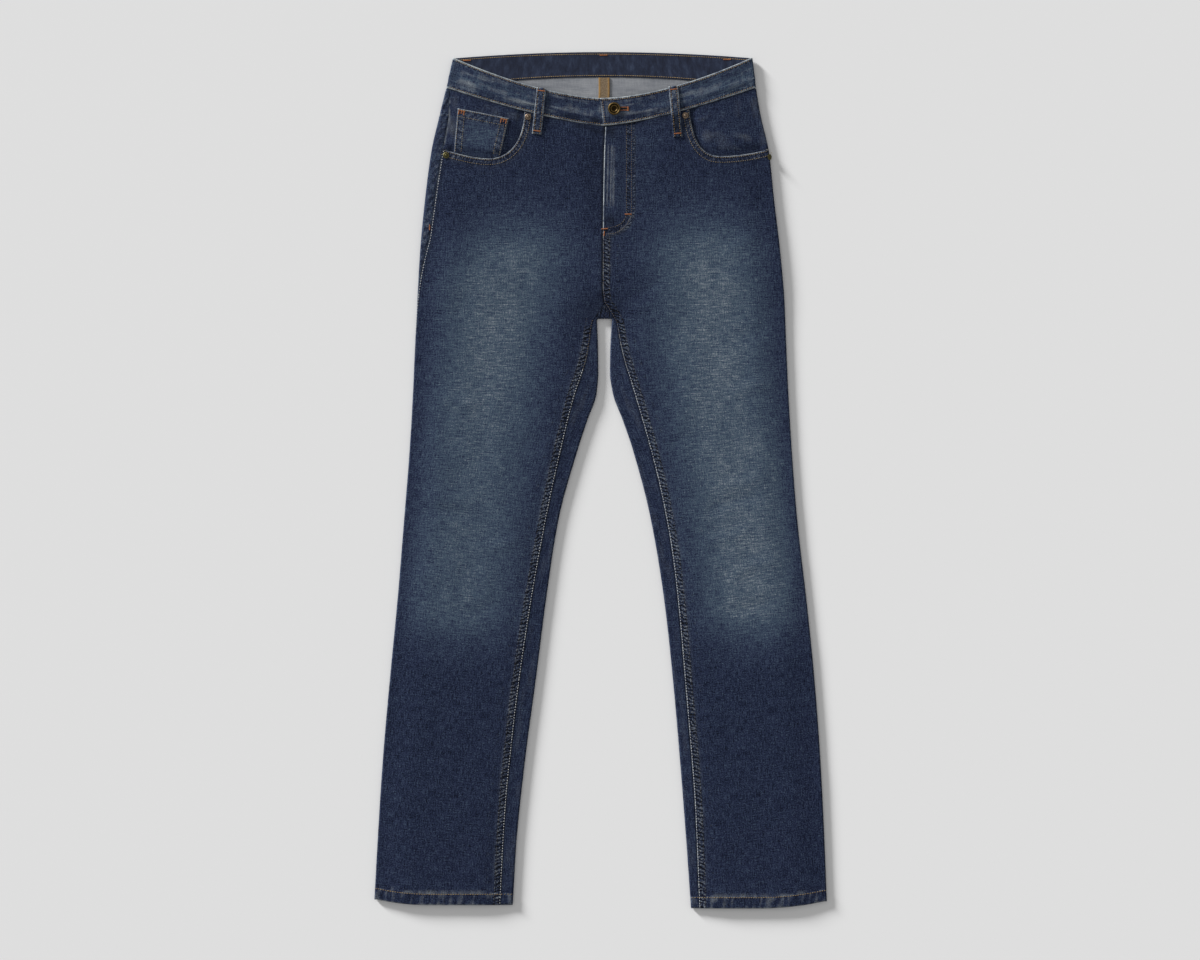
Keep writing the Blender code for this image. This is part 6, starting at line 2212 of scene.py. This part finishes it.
def reverse_denim():
    """The inside of the cloth, mostly undyed weft."""
    look = Finish("denim reverse", 0.95, Sheen_Weight=0.06, Sheen_Roughness=0.5, Specular_IOR_Level=0.2)
    cloth = look.cloth()
    warp = look.noise(look.stretch(cloth, (900, 60, 1)), detail=2.0, roughness=0.6)
    weft = look.noise(look.stretch(cloth, (60, 900, 1)), detail=2.0, roughness=0.6)
    fleck = look.noise(cloth, 1300, 1.5, 0.6)
    cloud = look.noise(look.stretch(cloth, (16, 70, 1), 0.25), detail=3.0, roughness=0.6)
    level = look.sum((warp, 0.35), (weft, 0.35), (fleck, 0.45), (cloud, 0.8))
    level = look.math("SUBTRACT", level, 0.45, True)
    colour = look.ramp(level, REVERSE)
    return look.done(colour, look.sum((warp, 0.5), (weft, 0.5), (fleck, 0.6)), 0.35, 0.0006)


def band_inside_denim():
    """The band's lining side: navy with faint upright streaks."""
    look = Finish("band inside denim", 0.92, Sheen_Weight=0.06, Sheen_Roughness=0.5, Specular_IOR_Level=0.25)
    cloth = look.cloth()
    streak = look.noise(look.stretch(cloth, (110, 48, 1), 0.5), detail=3.0, roughness=0.7)
    fleck = look.noise(cloth, 1150, 1.5, 0.6)
    fine = look.noise(look.stretch(cloth, (760, 40, 1)), detail=2.0, roughness=0.6)
    level = look.sum((streak, 1.1), (fleck, 0.5), (fine, 0.25))
    level = look.math("SUBTRACT", level, 0.72, True)
    colour = look.ramp(level, ((0.0, (15, 21, 39)), (0.25, (29, 37, 57)), (0.5, (49, 59, 80)),
                               (0.8, (82, 93, 110))))
    return look.done(colour, look.sum((fleck, 0.6), (fine, 0.5)), 0.35, 0.0006)


def cotton_tape():
    """Ribbed tan tape with a darker yellow line along each edge."""
    look = Finish("tan cotton tape", 0.95, Sheen_Weight=0.08, Sheen_Roughness=0.5, Specular_IOR_Level=0.2)
    cloth = look.cloth()
    rib = look.noise(look.stretch(cloth, (300, 1100, 1)), detail=2.0, roughness=0.6)
    fleck = look.noise(cloth, 900, 2.0, 0.7)
    level = look.sum((rib, 0.8), (fleck, 1.3))
    level = look.math("SUBTRACT", level, 0.62, True)
    colour = look.ramp(level, ((0.0, (72, 58, 40)), (0.45, (114, 97, 76)), (1.0, (164, 150, 126))))
    edge = look.times(look.mark("fade"), 0.75, True)
    colour = look.mix(edge, colour, shade(150, 112, 52))
    return look.done(colour, level, 0.4, 0.0005)


def thread(name, deep, light):
    """Twisted thread, with darker strands."""
    look = Finish(name, 0.75, Sheen_Weight=0.1, Sheen_Roughness=0.4, Specular_IOR_Level=0.35)
    here = look.here()
    strands = look.noise(here, 1600, 2.0, 0.6)
    patches = look.noise(here, 120, 2.0, 0.6)
    level = look.sum((strands, 0.7), (patches, 0.9))
    level = look.math("SUBTRACT", level, 0.32, True)
    colour = look.ramp(level, ((0.0, deep), (1.0, light)))
    return look.done(colour, strands, 0.3, 0.0002)


def old_metal(name, deep, bright, rough):
    """Antique metal: dark in its hollows, rubbed where it stands up."""
    look = Finish(name, rough, Metallic=1.0)
    here = look.here()
    patches = look.noise(here, 420, 4.0, 0.65)
    fine = look.noise(here, 2600, 2.0, 0.6)
    level = look.sum((patches, 0.9), (fine, 0.35), (look.mark("hollow"), -1.1))
    level = look.math("SUBTRACT", level, 0.16, True)
    between = [(a + b) / 2 for a, b in zip(deep, bright)]
    colour = look.ramp(level, ((0.0, deep), (0.5, between), (1.0, bright)))
    roughness = look.sum((fine, 0.25), (patches, 0.25))
    look.tree.links.new(look.math("ADD", roughness, rough - 0.2), look.shader.inputs["Roughness"])
    return look.done(colour, look.sum((patches, 0.6), (fine, 0.4)), 0.35, 0.0002)


FINISHES = {
    "denim": (denim, "indigo denim", INDIGO),
    "reverse": (reverse_denim,),
    "band inside": (band_inside_denim,),
    "tape": (cotton_tape,),
    "gold bright": (thread, "gold thread", (84, 68, 42), (164, 138, 92)),
    "gold dull": (thread, "worn gold thread", (80, 70, 50), (150, 134, 100)),
    "gold dark": (thread, "faded dark thread", (44, 42, 38), (112, 96, 72)),
    "gold sunk": (thread, "dark sunk thread", (24, 25, 32), (74, 68, 62)),
    "worn": (thread, "pale worn thread", (150, 150, 146), (214, 216, 216)),
    "orange": (thread, "orange thread", (92, 50, 26), (168, 104, 56)),
    "brass": (old_metal, "antique brass", (38, 30, 18), (164, 136, 82), 0.42),
    "copper": (old_metal, "rubbed copper", (70, 58, 48), (196, 176, 156), 0.40),
    "green brass": (old_metal, "dull brass", (48, 46, 28), (146, 138, 96), 0.45),
}
MADE = {}


def finish(name):
    """A material by its plain name, made once."""
    if name not in MADE:
        maker, *values = FINISHES[name]
        MADE[name] = maker(*values)
    return MADE[name]


def settle(piece, nodes):
    """Ties a finished piece to the frame."""
    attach(piece, "root")
    if nodes:
        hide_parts(*nodes)


class JeansCloth(bpy.types.PropertyGroup):
    """Sizes of the stage that a user would change"""

    sun_share: bpy.props.FloatProperty(
        name="Sun share", description="Share of the light on the floor that comes from the low soft sun",
        default=0.52, min=0.0, max=1.0, subtype="FACTOR",
    )
    sun_height: bpy.props.FloatProperty(
        name="Sun height", description="Angle of the sun above the horizon",
        default=math.radians(12), subtype="ANGLE",
    )
    sun_way: bpy.props.FloatProperty(
        name="Sun way", description="Direction in which the shadows fall, turned from +X",
        default=math.radians(-43), subtype="ANGLE",
    )
    sun_softness: bpy.props.FloatProperty(
        name="Sun softness", description="Angle across the sun, which softens the shadows",
        default=math.radians(11), subtype="ANGLE",
    )
    floor_colour: bpy.props.FloatVectorProperty(
        name="Floor colour", description="Colour of the plain pale floor",
        default=shade(222, 222, 222), size=3, subtype="COLOR", min=0.0, max=1.0,
    )
    frame_width: bpy.props.FloatProperty(
        name="Frame width", description="Width of floor that the camera sees",
        default=1.632, unit="LENGTH",
    )
    camera_height: bpy.props.FloatProperty(
        name="Camera height", description="Height of the camera above the floor",
        default=4.0, unit="LENGTH",
    )


class JEANS_OT_fronts(bpy.types.Operator):
    """Makes both front panels"""

    bl_idname = "jeans.fronts"
    bl_label = "Fronts"

    def execute(self, context):
        for side in SIDES:
            settle(make_front(side), [f"front_{side}"])
        return {"FINISHED"}


class JEANS_OT_backs(bpy.types.Operator):
    """Makes both backs and yokes"""

    bl_idname = "jeans.backs"
    bl_label = "Backs and yokes"

    def execute(self, context):
        for side in SIDES:
            settle(make_back(side), [f"back_{side}"])
            settle(make_yoke(side), [f"yoke_{side}"])
        return {"FINISHED"}


class JEANS_OT_waistband(bpy.types.Operator):
    """Makes the waistband with its buttonhole"""

    bl_idname = "jeans.waistband"
    bl_label = "Waistband"

    def execute(self, context):
        settle(make_waistband(), ["waistband"])
        return {"FINISHED"}


class JEANS_OT_pockets(bpy.types.Operator):
    """Makes the pocket facings, the coin pocket and the back pockets"""

    bl_idname = "jeans.pockets"
    bl_label = "Pockets"

    def execute(self, context):
        for side in SIDES:
            settle(make_facing(side), [f"pocket_facing_{side}"])
            settle(make_back_pocket(side), [f"back_pocket_{side}"])
        settle(make_coin_pocket(), ["coin_pocket"])
        return {"FINISHED"}


class JEANS_OT_loops(bpy.types.Operator):
    """Makes the belt loops and the tape on the seat seam"""

    bl_idname = "jeans.loops"
    bl_label = "Belt loops and tape"

    def execute(self, context):
        for name in FRONT_LOOPS:
            settle(make_front_loop(name), [name])
        for name in BACK_LOOPS:
            settle(make_back_loop(name), [name])
        settle(make_seat_tape(), ["seat_seam_tape"])
        return {"FINISHED"}


class JEANS_OT_stitching(bpy.types.Operator):
    """Lays every row of stitches"""

    bl_idname = "jeans.stitching"
    bl_label = "Stitching"

    def execute(self, context):
        leg_stitches()
        pocket_stitches()
        fly_stitches()
        band_stitches()
        loop_stitches()
        hidden_stitches()
        lay_stitches("bartacks", bartack_lines())
        whip, last = buttonhole_bars()
        lay_stitches("buttonhole_thread", whip)
        lay_stitches("buttonhole_bar", last)
        return {"FINISHED"}


class JEANS_OT_metal(bpy.types.Operator):
    """Makes the button and the rivets"""

    bl_idname = "jeans.metal"
    bl_label = "Button and rivets"

    def execute(self, context):
        settle(make_button(finish("brass")), ["button"])
        for name, metal in (
            ("rivet_mouth_right", "copper"),
            ("rivet_side_right", "green brass"),
            ("rivet_mouth_left", "copper"),
            ("rivet_side_left", "green brass"),
        ):
            settle(make_rivet(name, finish(metal)), [name])
        return {"FINISHED"}


class JEANS_OT_stage(bpy.types.Operator):
    """Makes the floor, the light and the camera"""

    bl_idname = "jeans.stage"
    bl_label = "Stage"

    def execute(self, context):
        make_stage(context.scene)
        return {"FINISHED"}


def make_stage(scene):
    """A plain pale floor, a soft low sun over an even sky, and a camera that looks straight down."""
    sizes = scene.jeans_cloth
    far, low = 5.0, -0.0005
    corners = [(-far, -far, low), (far, -far, low), (far, far, low), (-far, far, low)]
    mesh = new_mesh("floor", corners, [(0, 1, 2, 3)])
    look = Finish("plain floor", 0.9, Specular_IOR_Level=0.1)
    grit = look.noise(look.here(), 40.0, 3.0, 0.5)
    pale = tuple(sizes.floor_colour)
    colour = look.mix(look.times(grit, 0.02), pale, tuple(c * 0.9 for c in pale))
    mesh.materials.append(look.done(colour, None, 0, 0))
    place_in_scene("floor", mesh)

    world = bpy.data.worlds.new("even sky")
    world.use_nodes = True
    sky = world.node_tree.nodes["Background"]
    sky.inputs["Color"].default_value = (1.0, 1.0, 1.0, 1.0)
    sky.inputs["Strength"].default_value = 1.0 - sizes.sun_share
    scene.world = world

    light = bpy.data.lights.new("soft sun", "SUN")
    light.energy = math.pi * sizes.sun_share / math.sin(sizes.sun_height)
    light.angle = sizes.sun_softness
    sun = place_in_scene("soft sun", light)
    flat = math.cos(sizes.sun_height)
    down = -math.sin(sizes.sun_height)
    way = Vector((flat * math.cos(sizes.sun_way), flat * math.sin(sizes.sun_way), down))
    sun.rotation_euler = way.to_track_quat("-Z", "Y").to_euler()
    sun.location = -way * 3

    lens = bpy.data.cameras.new("camera")
    lens.sensor_width = 36.0
    lens.lens = lens.sensor_width * sizes.camera_height / sizes.frame_width
    camera = place_in_scene("camera", lens)
    camera.location = (-0.00068, 0.0, sizes.camera_height)
    scene.camera = camera
    scene.view_settings.view_transform = "Standard"


STEPS = ("fronts", "backs", "waistband", "pockets", "loops", "stitching", "metal", "stage")


class JEANS_PT_panel(bpy.types.Panel):
    """Lists the pieces"""

    bl_idname = "JEANS_PT_panel"
    bl_label = "Slim jeans"
    bl_space_type = "VIEW_3D"
    bl_region_type = "UI"
    bl_category = "Jeans"

    def draw(self, context):
        for step in STEPS:
            self.layout.operator(f"jeans.{step}")
        for key in JeansCloth.__annotations__:
            self.layout.prop(context.scene.jeans_cloth, key)


CLASSES = (
    JeansCloth, JEANS_OT_fronts, JEANS_OT_backs, JEANS_OT_waistband, JEANS_OT_pockets, JEANS_OT_loops,
    JEANS_OT_stitching, JEANS_OT_metal, JEANS_OT_stage, JEANS_PT_panel,
)


def register():
    for made in CLASSES:
        bpy.utils.register_class(made)
    bpy.types.Scene.jeans_cloth = bpy.props.PointerProperty(type=JeansCloth)


def unregister():
    del bpy.types.Scene.jeans_cloth
    for made in reversed(CLASSES):
        bpy.utils.unregister_class(made)


def main():
    register()
    for step in STEPS:
        getattr(bpy.ops.jeans, step)()


if __name__ == "__main__":
    main()
